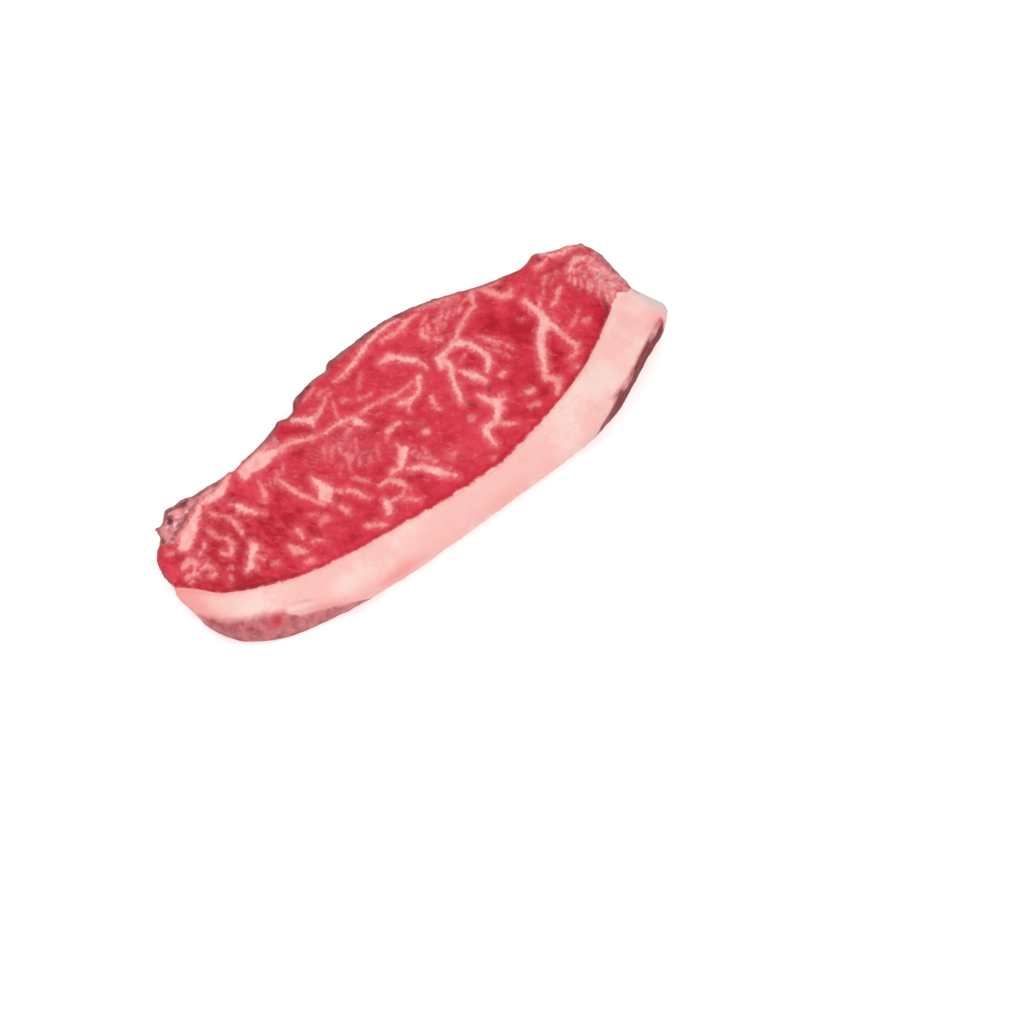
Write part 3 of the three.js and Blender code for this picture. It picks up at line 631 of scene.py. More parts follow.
class Recipe:
    """One material and the nodes that make it."""

    drift_scale: float = 0.8
    drift_detail: float = 3.0
    cell_smoothness: float = 0.35

    def __init__(self, name: str) -> None:
        """Starts an empty material of this name."""
        self.material = bpy.data.materials.new(name)
        self.material.use_nodes = True
        self.nodes = self.material.node_tree.nodes
        self.links = self.material.node_tree.links
        self.shader = self.nodes["Principled BSDF"]
        self.place = self.nodes.new("ShaderNodeTexCoord").outputs["Object"]

    def join(self, value: object, socket: Socket) -> None:
        """Links a socket to another, or sets a plain value on it."""
        if isinstance(value, bpy.types.NodeSocket):
            self.links.new(value, socket)
        elif isinstance(value, tuple) and len(value) == 3 and socket.type == "RGBA":
            socket.default_value = (*value, 1.0)
        else:
            socket.default_value = value

    def set(self, name: str, value: object) -> None:
        """Sets or links one of the shader's own inputs."""
        self.join(value, self.shader.inputs[name])

    def attribute(self, name: str) -> Socket:
        """A number kept at each of the mesh's points."""
        node = self.nodes.new("ShaderNodeAttribute")
        node.attribute_name = name
        return node.outputs["Fac"]

    def math(self, operation: str, a: object, b: object = 0.0, c: object = 0.0) -> Socket:
        """One step of arithmetic.

        Args:
            operation: The node's own name for it.
            a: A socket or a number.
            b: The second one.
            c: The third one, where the operation has it.

        Returns:
            The result's socket.
        """
        node = self.nodes.new("ShaderNodeMath")
        node.operation = operation
        for value, socket in zip((a, b, c), node.inputs):
            self.join(value, socket)
        return node.outputs[0]

    def times(self, a: object, b: object) -> Socket:
        """Two values multiplied."""
        return self.math("MULTIPLY", a, b)

    def plus(self, value: object, other: object, share: float = 1.0) -> Socket:
        """A value with a share of another one added to it."""
        return self.math("MULTIPLY_ADD", other, share, value)

    def warp(self, value: Socket, noises: Noises) -> Socket:
        """A value made uneven by noises that each move it by up to half their amount."""
        for cloud, amount in noises:
            value = self.plus(value, self.math("SUBTRACT", cloud, 0.5), amount)
        return value

    def fade(self, value: Socket, low: float, high: float, most: float = 1.0) -> Socket:
        """A smooth change from 0 at low to the most at high, which may be the lower one."""
        node = self.nodes.new("ShaderNodeMapRange")
        node.interpolation_type = "SMOOTHSTEP"
        turned = high < low
        self.join(value, node.inputs["Value"])
        node.inputs["From Min"].default_value = high if turned else low
        node.inputs["From Max"].default_value = low if turned else high
        node.inputs["To Min"].default_value = most if turned else 0.0
        node.inputs["To Max"].default_value = 0.0 if turned else most
        return node.outputs["Result"]

    def mix(self, share: object, a: object, b: object) -> Socket:
        """Two colours mixed, with a share of the second one."""
        node = self.nodes.new("ShaderNodeMix")
        node.data_type = "RGBA"
        self.join(share, node.inputs[0])
        self.join(a, node.inputs[6])
        self.join(b, node.inputs[7])
        return node.outputs[2]

    def lay(self, colour: object, paint: object, value: Socket, low: float, high: float,
            most: float = 1.0) -> Socket:
        """Lays one colour over another where a value says so.

        Args:
            colour: The colour beneath.
            paint: The colour on it.
            value: What says how much of it there is.
            low: The value at which there is none.
            high: The value at which there is the most, which may be the lower one.
            most: The greatest share of the paint.

        Returns:
            The socket of both together.
        """
        return self.mix(self.fade(value, low, high, most), colour, paint)

    def stretched(self, size: Sequence[float], turn: float = 0.0) -> Socket:
        """Object places, turned about the vertical and measured in a size for each axis, in millimetres."""
        node = self.nodes.new("ShaderNodeMapping")
        node.vector_type = "TEXTURE"
        self.join(self.place, node.inputs["Vector"])
        node.inputs["Rotation"].default_value = (0.0, 0.0, math.radians(turn))
        node.inputs["Scale"].default_value = tuple(s * MM for s in size)
        return node.outputs[0]

    def noise(self, size: float | Sequence[float], detail: float = 2.0, rough: float = 0.5, turn: float = 0.0,
              seed: float = 0.0) -> Socket:
        """Cloudy noise from 0 to 1, mostly near a half.

        Args:
            size: The size of its clouds in millimetres, one number or one for each axis.
            detail: How many finer layers it has.
            rough: How strong those are.
            turn: How far a stretched noise is turned, in degrees.
            seed: Tells this noise from the others.

        Returns:
            Its socket.
        """
        node = self.nodes.new("ShaderNodeTexNoise")
        node.noise_dimensions = "4D"
        sizes = (size,) * 3 if isinstance(size, (int, float)) else size
        self.join(self.stretched(sizes, turn), node.inputs["Vector"])
        node.inputs["W"].default_value = seed
        node.inputs["Scale"].default_value = 1.0
        node.inputs["Detail"].default_value = detail
        node.inputs["Roughness"].default_value = rough
        return node.outputs["Fac"]

    def drifted(self, size: Sequence[float], turn: float, drift: float) -> Socket:
        """Places carried about by noise, so that a net of cells on them loses its straight lines.

        Args:
            size: The size that they are measured in for each axis, in millimetres.
            turn: How far they are turned about the vertical, in degrees.
            drift: How far they are carried, in sizes.

        Returns:
            Their socket.
        """
        where = self.stretched(size, turn)
        cloud = self.nodes.new("ShaderNodeTexNoise")
        cloud.inputs["Scale"].default_value = self.drift_scale
        cloud.inputs["Detail"].default_value = self.drift_detail
        self.join(where, cloud.inputs["Vector"])
        node = self.nodes.new("ShaderNodeVectorMath")
        node.operation = "MULTIPLY_ADD"
        self.join(cloud.outputs["Color"], node.inputs[0])
        node.inputs[1].default_value = (drift,) * 3
        self.join(where, node.inputs[2])
        return node.outputs[0]

    def cells(self, where: Socket, feature: str, output: str) -> Socket:
        """A net of cells: one of the node's outputs, for one of its features."""
        node = self.nodes.new("ShaderNodeTexVoronoi")
        node.feature = feature
        self.join(where, node.inputs["Vector"])
        node.inputs["Scale"].default_value = 1.0
        if feature == "SMOOTH_F1":
            node.inputs["Smoothness"].default_value = self.cell_smoothness
        return node.outputs[output]

    def ragged(self) -> Socket:
        """The noise that makes the edges of everything uneven."""
        return self.noise(3.2, 3, 0.6, seed=20.0)

    def tremor(self) -> Socket:
        """The finer noise of those edges."""
        return self.noise(1.1, 2, 0.6, seed=21.0)

    def bump(self, height: Socket, depth: float) -> None:
        """Turns a height from 0 to 1 into relief of a given depth in millimetres."""
        node = self.nodes.new("ShaderNodeBump")
        node.inputs["Strength"].default_value = 1.0
        node.inputs["Distance"].default_value = depth * MM
        self.join(height, node.inputs["Height"])
        self.set("Normal", node.outputs["Normal"])


@dataclass(frozen=True)
class Moisture:
    """How a raw surface shines, and how far light goes into it."""

    roughness: float
    specular: float
    depth: float
    spread: Colour
    weight: float

    def wet(self, recipe: Recipe) -> None:
        """Sets the shader's own constants."""
        recipe.set("Roughness", self.roughness)
        recipe.set("Specular IOR Level", self.specular)
        recipe.set("Subsurface Weight", self.weight)
        recipe.set("Subsurface Scale", self.depth * MM)
        recipe.set("Subsurface Radius", self.spread)


@dataclass(frozen=True)
class MeatFinish:
    """Raw beef: muscle in bundles, marbled with fat, under its thin skin at the sides."""

    deep: Colour = shade(176, 20, 40)
    red: Colour = shade(201, 44, 62)
    bright: Colour = shade(214, 62, 78)
    light: Colour = shade(222, 110, 118)
    dull: Colour = shade(196, 92, 102)
    shadow: Colour = shade(156, 36, 50)
    rosy: Colour = shade(230, 116, 120)
    pale: Colour = shade(237, 176, 169)
    membrane: Colour = shade(238, 178, 173)
    tissue: Colour = shade(206, 132, 136)
    tissue_dark: Colour = shade(168, 78, 86)
    tissue_pale: Colour = shade(238, 184, 184)
    dark: Colour = shade(100, 36, 42)
    # the rim's band: a crust of dried blood, and painted shade where the back rim turns away
    crust: Colour = shade(156, 104, 104)
    scab_and_shade: Colour = shade(112, 56, 60)
    side: Colour = shade(168, 58, 68)
    side_pale: Colour = shade(214, 142, 142)
    fat: Colour = shade(247, 196, 190)
    moisture: Moisture = Moisture(0.36, 0.16, 0.8, (1.0, 0.35, 0.3), 0.08)
    shine_change: float = 0.3
    grain_depth: float = 0.1

    def muscle(self, r: Recipe) -> Socket:
        """The lean's colour: calm and red, broken up where sinew runs through it, with painted shade in
        hollows.
        """
        froth = r.attribute("froth")
        depth = r.warp(r.attribute("tone"), (
            (r.noise(15.0, 2, 0.5, seed=1.0), 1.4),
            (r.noise(6.0, 3, 0.6, seed=2.0), 2.0),
            (r.noise((2.0, 3.8, 3.0), 3, 0.6, 48, 4.0), 0.9),
            (r.cells(r.drifted((2.2, 3.8, 4.0), 50, 2.2), "SMOOTH_F1", "Color"), 0.8),
        ))
        hollows = r.plus(r.noise((2.0, 2.5, 2.4), 3, 0.65, 45, 9.0), froth, -0.07)
        wisps = r.plus(r.noise((1.8, 3.6, 3.0), 3, 0.6, 50, 3.0), froth, 0.08)
        specks = r.plus(r.noise((1.2, 2.3, 1.6), 2, 0.6, 42, 12.0), froth, 0.16)
        colour = r.lay(self.bright, self.red, depth, -0.75, 0.05)
        colour = r.lay(colour, self.deep, depth, -0.05, 0.8)
        # painted shade in the hollows between the bundles
        colour = r.lay(colour, self.shadow, hollows, 0.45, 0.26, 0.42)
        colour = r.lay(colour, self.light, wisps, 0.56, 0.78, 0.5)
        colour = r.lay(colour, self.rosy, specks, 0.66, 0.86, 0.55)
        return r.lay(colour, self.dull, froth, 0.3, 1.6, 0.4)

    def torn(self, r: Recipe, colour: Socket, noises: Noises) -> Socket:
        """The torn tissue and the darker places (dried blood, painted shade) laid over the meat's colour."""
        shred = r.plus(r.noise((2.6, 2.0, 2.4), 3, 0.65, seed=24.0), r.attribute("tone"), -0.06)
        shreds = r.lay(self.tissue_dark, self.tissue, shred, 0.36, 0.5)
        shreds = r.lay(shreds, self.tissue_pale, shred, 0.5, 0.66)
        tissue = r.warp(r.attribute("tissue"), noises)
        colour = r.mix(r.times(r.fade(tissue, 0.6, -0.6), r.attribute("tissue_tone")), colour, shreds)
        blood_and_shade = r.warp(r.attribute("blood_and_shade"), noises)
        # dried blood, and painted shade in folds and along the rim's ridges, in the dark colour
        return r.mix(r.times(r.fade(blood_and_shade, 0.6, -0.8), r.attribute("blood_and_shade_tone")), colour, self.dark)

    def laid(self, r: Recipe, colour: Socket, name: str, paint: Colour, noises: Noises,
             patchy: Socket) -> Socket:
        """Runs of fat or membrane laid into the meat, with a soft rosy edge and feathers beside them.

        Args:
            r: The material.
            colour: The meat under them.
            name: The attribute that holds the distance to their edge; their strength's has _tone after it.
            paint: Their own colour.
            noises: What makes their edge uneven.
            patchy: A noise that thins them out here and there.

        Returns:
            The colour with them on it.
        """
        edge = r.warp(r.attribute(name), noises)
        tone = r.attribute(name + "_tone")
        weight = r.times(tone, tone)
        colour = r.mix(r.times(r.fade(edge, 3.0, 0.2, 0.4), weight), colour, self.light)
        feathers = r.times(r.fade(edge, 2.4, 0.4, 0.65), r.fade(patchy, 0.52, 0.68))
        colour = r.mix(r.times(feathers, weight), colour, self.rosy)
        colour = r.mix(r.times(r.fade(edge, 1.1, -0.5, 0.95), tone), colour, self.rosy)
        core = r.times(r.fade(edge, 0.4, -0.9), weight)
        thinned = r.plus(0.6, r.fade(patchy, 0.66, 0.44), 0.4)
        return r.mix(r.times(core, thinned), colour, paint)

    def sides(self, r: Recipe, face: Socket, ragged: Socket) -> Socket:
        """The natural outside below the cut face's rim: fibres that run up and down under a thin skin."""
        fibres = r.noise((1.7, 1.7, 42.0), 3, 0.6, 34, 40.4)
        glow = r.noise((14.0, 14.0, 9.0), 3, 0.6, 28, 43.4)
        skin = r.plus(r.noise((12.0, 12.0, 9.0), 3, 0.6, 40, 41.4), fibres, 0.3)
        skin = r.plus(skin, r.attribute("skinned"))
        fatty = r.warp(r.attribute("seam"), ((ragged, 6.0),))
        colour = r.lay(self.dark, self.side, fibres, 0.3, 0.58)
        colour = r.lay(colour, self.red, glow, 0.42, 0.66, 0.8)
        colour = r.lay(colour, self.side_pale, skin, 0.64, 0.8, 0.75)
        colour = r.lay(colour, self.membrane, skin, 0.78, 0.9, 0.8)
        colour = r.lay(colour, self.membrane, fatty, 2.6, 0.2, 0.8)
        turned = r.warp(r.attribute("side"), ((ragged, 0.5),))
        colour = r.lay(face, colour, turned, 0.35, 0.6)
        # painted shade where the back rim turns away, with a crust of dried blood, in a band along the rim
        dried = r.lay(self.scab_and_shade, self.crust, r.noise(4.4, 4, 0.6, 30, 42.0), 0.38, 0.62)
        rim = r.warp(r.attribute("rim_gap"), ((ragged, 3.0),))
        band = r.times(r.fade(rim, 3.2, 0.8), r.fade(turned, 0.95, 0.7))
        return r.mix(r.times(band, r.attribute("rim")), colour, dried)

    def make(self) -> bpy.types.Material:
        """The whole finish of the lean."""
        r = Recipe("raw_beef")
        ragged, tremor = r.ragged(), r.tremor()
        patchy = r.noise(3.4, 2, 0.6, seed=22.0)
        noises = ((ragged, 3.0), (tremor, 2.4))
        colour = self.torn(r, self.muscle(r), noises)
        colour = self.laid(r, colour, "streak", self.pale, noises, patchy)
        colour = self.laid(r, colour, "membrane", self.membrane, noises, patchy)
        border = r.warp(r.attribute("seam"), ((ragged, 2.6), (tremor, 1.2)))
        colour = r.lay(colour, self.deep, border, 2.4, 0.8, 0.45)
        colour = r.lay(colour, self.rosy, border, 0.9, 0.1, 0.6)
        colour = r.lay(colour, self.fat, border, 0.4, -0.4)
        r.set("Base Color", self.sides(r, colour, ragged))
        self.moisture.wet(r)
        calm = self.moisture.roughness - 0.5 * self.shine_change
        r.set("Roughness", r.plus(calm, r.noise(1.2, 3, 0.6, seed=33.0), self.shine_change))
        bundles = r.noise((0.7, 1.5, 1.0), 3, 0.6, -30, 30.0)
        r.bump(r.plus(r.noise(1.9, 2, 0.5, seed=31.0), bundles, 0.5), self.grain_depth)
        return r.material


@dataclass(frozen=True)
class FatFinish:
    """The cap's fat: firm and pale on the cut, with a thin dried rind on its outside at both ends."""

    pale: Colour = shade(238, 206, 198)
    pink: Colour = shade(238, 186, 180)
    salmon: Colour = shade(232, 154, 150)
    red: Colour = shade(186, 40, 56)
    flushed_and_shaded: Colour = shade(208, 96, 100)
    dusty: Colour = shade(198, 110, 117)
    stripe: Colour = shade(164, 76, 87)
    scab_and_shade: Colour = shade(136, 58, 60)
    rind: Colour = shade(120, 44, 46)
    grey: Colour = shade(208, 194, 192)
    moisture: Moisture = Moisture(0.5, 0.02, 1.6, (1.0, 0.55, 0.45), 0.12)
    grain_depth: float = 0.05

    def face(self, r: Recipe) -> Socket:
        """The cut face: pale, with pink clouds and faint lobules, and painted light and shade at its edge."""
        level = r.plus(r.noise(13.0, 2, 0.5, seed=1.0), r.noise((5.0, 5.0, 3.4), 3, 0.6, seed=2.0), 0.6)
        # paler and pinker clouds, and a painted highlight along the skin's lip
        level = r.plus(level, r.attribute("pallor_and_highlight"), -0.3)
        colour = r.lay(self.pale, self.pink, level, 0.5, 0.94)
        lobules = r.cells(r.drifted((3.0, 2.2, 2.6), 10, 1.2), "DISTANCE_TO_EDGE", "Distance")
        veins = r.times(r.fade(lobules, 0.12, 0.0, 0.25), r.fade(r.noise(6.0, 2, seed=6.0), 0.4, 0.65))
        colour = r.mix(veins, colour, self.salmon)
        # salmon towards the outer edge, partly painted shade where the fat turns away
        return r.lay(colour, self.salmon, r.attribute("blush_and_edge_shade"), 0.0, 1.0)

    def outside(self, r: Recipe, colour: Socket, noises: Noises) -> Socket:
        """The dried outside: mauve skin and red flushes at the tip, brown rind at the blunt end, and painted
        shade.
        """
        stripes = r.noise((3.2, 3.2, 10.0), 3, 0.6, seed=40.0)
        grey_and_low_shade = r.lay(self.grey, self.pink, stripes, 0.5, 0.66, 0.6)
        # grey at the end and on a spot, and painted shade low on the middle of the wall
        ash_and_low_shade = r.warp(r.attribute("ash_and_low_shade"), ((noises[0][0], 0.6),))
        colour = r.lay(colour, grey_and_low_shade, ash_and_low_shade, 0.1, 1.3, 0.9)
        skin = r.lay(self.stripe, self.dusty, stripes, 0.4, 0.62)
        # painted shade low on the skin, by the floor, in the darker colour
        skin = r.mix(r.times(r.attribute("brink_and_low_shade"), 0.75), skin, self.scab_and_shade)
        skin_edge = r.warp(r.attribute("dusty"), noises)
        colour = r.lay(colour, self.salmon, skin_edge, 2.4, 0.0, 0.6)
        colour = r.lay(colour, skin, skin_edge, 1.4, -2.0)
        # red marks, and a painted shadow line above the skin's lip
        flush_and_shadow = r.times(r.attribute("flush_and_shadow"), r.plus(0.5, r.noise(2.6, 3, 0.6, seed=44.0)))
        colour = r.lay(colour, self.flushed_and_shaded, flush_and_shadow, 0.02, 0.6, 0.7)
        colour = r.lay(colour, self.red, flush_and_shadow, 0.3, 1.1, 0.9)
        rind_edge = r.warp(r.attribute("rind"), noises)
        colour = r.lay(colour, self.dusty, rind_edge, 3.4, 0.2, 0.65)
        crust = r.lay(self.rind, self.scab_and_shade, stripes, 0.4, 0.64)
        return r.lay(colour, crust, rind_edge, 1.5, -1.6)

    def make(self) -> bpy.types.Material:
        """The whole finish of the fat."""
        r = Recipe("beef_fat")
        ragged, tremor = r.ragged(), r.tremor()
        creases = r.fade(r.noise((7.0, 7.0, 3.0), 4, 0.62, seed=46.0), 0.48, 0.66, 0.55)
        colour = r.mix(r.times(creases, r.attribute("wall")), self.face(r), self.salmon)
        border = r.warp(r.attribute("seam"), ((ragged, -2.6), (tremor, -1.2)))
        colour = r.lay(colour, self.salmon, border, 1.6, 0.2, 0.55)
        colour = r.lay(colour, self.red, border, 0.4, -0.4)
        r.set("Base Color", self.outside(r, colour, ((ragged, 2.4), (tremor, 0.8))))
        self.moisture.wet(r)
        lumps = r.noise(2.2, 2, 0.5, seed=31.0)
        r.bump(r.plus(r.noise(0.6, 3, 0.6, seed=30.0), lumps, 1.5), self.grain_depth)
        return r.material


@dataclass
class Layer:
    """One layer of the steak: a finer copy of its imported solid, with relief, marks and a finish.

    Its sizes are in millimetres and its angles in degrees. A span is where a smooth change begins and ends.
    """

    node: str
    neighbour: str
    slot: str
    title: str
    steps: tuple[Push, ...] = ()
    merge_within: float = 0.01
    join_below: float = 45.0
    crease_from: float = 50.0
    fine_above: float = 16.2
    face_cuts: int = 2
    side_cuts: int = 1
    smoothings: int = 2
    ground: float = 0.3
    foot: float = 2.5
    seam_reach: float = 0.6
    seam_share: float = 0.52
    own_way: Span = (0.5, 2.0)
    wall_from: float = 0.5
    wall_clear: float = 1.5
    swell: float = 0.10
    swell_size: float = 7.0
    dimple: float = 0.06
    dimple_size: float = 3.0
    places: np.ndarray = field(init=False, repr=False)
    normals: np.ndarray = field(init=False, repr=False)
    nearest: np.ndarray = field(init=False, repr=False)
    seam: np.ndarray = field(init=False, repr=False)
    noted: dict[str, np.ndarray] = field(init=False, repr=False)

    def build(self) -> bpy.types.Object:
        """Builds the piece.

        Returns:
            The dressed object, riding on the steak's body.
        """
        mesh = self.smoothed()
        self.refine(mesh)
        self.measure(mesh)
        self.close_seam(mesh)
        self.mark(mesh)
        self.raise_relief(mesh)
        piece = bpy.data.objects.new(self.title, mesh)
        bpy.context.scene.collection.objects.link(piece)
        mesh.materials.clear()
        mesh.materials.append(self.finish())
        for polygon in mesh.polygons:
            polygon.use_smooth = True
        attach(piece, "root")
        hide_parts(self.node)
        return piece

    def finish(self) -> bpy.types.Material:
        """The layer's material."""
        raise NotImplementedError

    def marks(self, xyz: np.ndarray) -> dict[str, np.ndarray]:
        """The numbers that the finish reads at each point."""
        raise NotImplementedError

    def relief(self, xyz: np.ndarray) -> np.ndarray:
        """How far each point stands out from the plain surface, in millimetres."""
        raise NotImplementedError

    def smoothed(self) -> bpy.types.Mesh:
        """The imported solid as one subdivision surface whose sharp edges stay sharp.

        Returns:
            The mesh, in metres.
        """
        bm = bmesh.new()
        bm.from_mesh(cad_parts[self.node].data)
        bmesh.ops.remove_doubles(bm, verts=bm.verts, dist=self.merge_within * MM)
        limit = math.radians(self.join_below)
        bmesh.ops.join_triangles(bm, faces=bm.faces, angle_face_threshold=limit, angle_shape_threshold=limit)
        crease = bm.edges.layers.float.new("crease_edge")
        for edge in bm.edges:
            edge[crease] = 1.0 if edge.calc_face_angle(0.0) > math.radians(self.crease_from) else 0.0
        plain = bpy.data.meshes.new(self.title + "_plain")
        bm.to_mesh(plain)
        bm.free()
        for layer in list(plain.uv_layers):
            plain.uv_layers.remove(layer)
        holder = bpy.data.objects.new(self.title + "_plain", plain)
        bpy.context.scene.collection.objects.link(holder)
        surface = holder.modifiers.new("surface", "SUBSURF")
        surface.levels = surface.render_levels = 1
        shaped = holder.evaluated_get(bpy.context.evaluated_depsgraph_get())
        mesh = bpy.data.meshes.new_from_object(shaped)
        bpy.data.objects.remove(holder)
        bpy.data.meshes.remove(plain)
        mesh.name = self.title
        return mesh

    def is_low(self, face: bmesh.types.BMFace) -> bool:
        """Whether a face is below the finely divided zone."""
        return face.calc_center_median().z <= self.fine_above * MM

    def refine(self, mesh: bpy.types.Mesh) -> None:
        """Divides the faces again, most finely over the upper cut face.

        Args:
            mesh: The smoothed mesh, changed in place.
        """
        bm = bmesh.new()
        bm.from_mesh(mesh)
        crease = bm.edges.layers.float.get("crease_edge")
        edges = list({e for f in bm.faces if not self.is_low(f) for e in f.edges})
        bmesh.ops.subdivide_edges(bm, edges=edges, cuts=self.face_cuts, use_grid_fill=True)
        inner = {e for f in bm.faces if self.is_low(f) for e in f.edges}
        edges = [e for e in inner if all(self.is_low(f) for f in e.link_faces)]
        bmesh.ops.subdivide_edges(bm, edges=edges, cuts=self.side_cuts, use_grid_fill=True)
        creased = [e for e in bm.edges if crease and e[crease] > SHARP]
        for edge in creased:
            edge.smooth = False
        sharp = {v for e in creased for v in e.verts}
        loose = [v for v in bm.verts if v not in sharp and v.co.z > self.ground * MM]
        for _ in range(self.smoothings):
            bmesh.ops.smooth_vert(
                bm, verts=loose, factor=0.5, use_axis_x=True, use_axis_y=True, use_axis_z=True)
        bmesh.ops.recalc_face_normals(bm, faces=bm.faces)
        bm.to_mesh(mesh)
        bm.free()
        mesh.update()

    def measure(self, mesh: bpy.types.Mesh) -> None:
        """Notes where each point is, which way it faces and how far it is from the other layer.

        Args:
            mesh: The refined mesh.
        """
        count = len(mesh.vertices)
        flat = np.zeros(3 * count, np.float32)
        mesh.vertices.foreach_get("co", flat)
        self.places = flat.reshape(-1, 3).astype(float)
        normals = np.zeros(3 * count, np.float32)
        mesh.vertex_normals.foreach_get("vector", normals)
        self.normals = normals.reshape(-1, 3).astype(float)
        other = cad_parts[self.neighbour].data
        faces = [tuple(p.vertices) for p in other.polygons]
        tree = BVHTree.FromPolygons([v.co for v in other.vertices], faces)
        found = [tree.find_nearest(Vector(p)) for p in self.places.tolist()]
        self.nearest = np.array([tuple(hit[0]) for hit in found])
        self.seam = np.array([hit[3] for hit in found]) / MM

    def close_seam(self, mesh: bpy.types.Mesh) -> None:
        """Brings the wall along the seam up against the other layer.

        Args:
            mesh: The refined mesh, changed in place.
        """
        share = np.where(self.seam < self.seam_reach, self.seam_share, 0.0)[:, None]
        self.places = self.places + share * (self.nearest - self.places)
        mesh.vertices.foreach_set("co", self.places.astype(np.float32).ravel())

    def upright(self) -> np.ndarray:
        """How upright the surface is at each point, from 0 on a cut face to 1 on a wall."""
        return 1.0 - np.abs(self.normals[:, 2])

    def rim_gap(self) -> np.ndarray:
        """How far each point is from the natural outside, in millimetres."""
        outside = self.places[(self.upright() > self.wall_from) & (self.seam > self.wall_clear)]
        tree = KDTree(len(outside))
        for index, place in enumerate(outside.tolist()):
            tree.insert(place, index)
        tree.balance()
        return np.array([tree.find(place)[2] for place in self.places.tolist()]) / MM

    def pushed(self, xy: np.ndarray) -> np.ndarray:
        """How far the rim's steps push each place along x and y, in millimetres."""
        return sum((step.shift(xy) for step in self.steps), np.zeros((len(xy), 2)))

    def drawn(self) -> np.ndarray:
        """Where each point is, in millimetres among the drawn places."""
        return self.places / MM + np.array([*DRAWN_CENTRE, 0.0])

    def mark(self, mesh: bpy.types.Mesh) -> None:
        """Stores the numbers that the finish reads.

        Args:
            mesh: The refined mesh, changed in place.
        """
        xyz = self.drawn()
        xyz[:, :2] += self.pushed(xyz[:, :2])
        self.noted = self.marks(xyz)
        for name, values in self.noted.items():
            attribute = mesh.attributes.new(name, "FLOAT", "POINT")
            attribute.data.foreach_set("value", values.astype(np.float32))

    def raise_relief(self, mesh: bpy.types.Mesh) -> None:
        """Moves each point out by its relief: along its own normal, or straight up close to the seam.

        Args:
            mesh: The marked mesh, changed in place.
        """
        xyz = self.drawn()
        own = smoothstep(*self.own_way, self.seam)[:, None]
        way = own * self.normals + (1.0 - own) * np.array([0.0, 0.0, 1.0])
        way /= np.linalg.norm(way, axis=1)[:, None]
        shared = self.swell * ripple(xyz, self.swell_size, 1.0)
        shared += self.dimple * ripple(xyz, self.dimple_size, 2.0)
        height = shared + own[:, 0] * self.relief(xyz)
        on_wall = (self.seam < self.seam_reach) & (xyz[:, 2] < self.fine_above + 1.0)
        height = np.where(on_wall, 0.0, height) * smoothstep(0.0, self.foot, xyz[:, 2])
        moved = self.places + way * (height * MM)[:, None]
        moved[:, :2] += self.pushed(xyz[:, :2]) * MM
        mesh.vertices.foreach_set("co", moved.astype(np.float32).ravel())
        mesh.update()


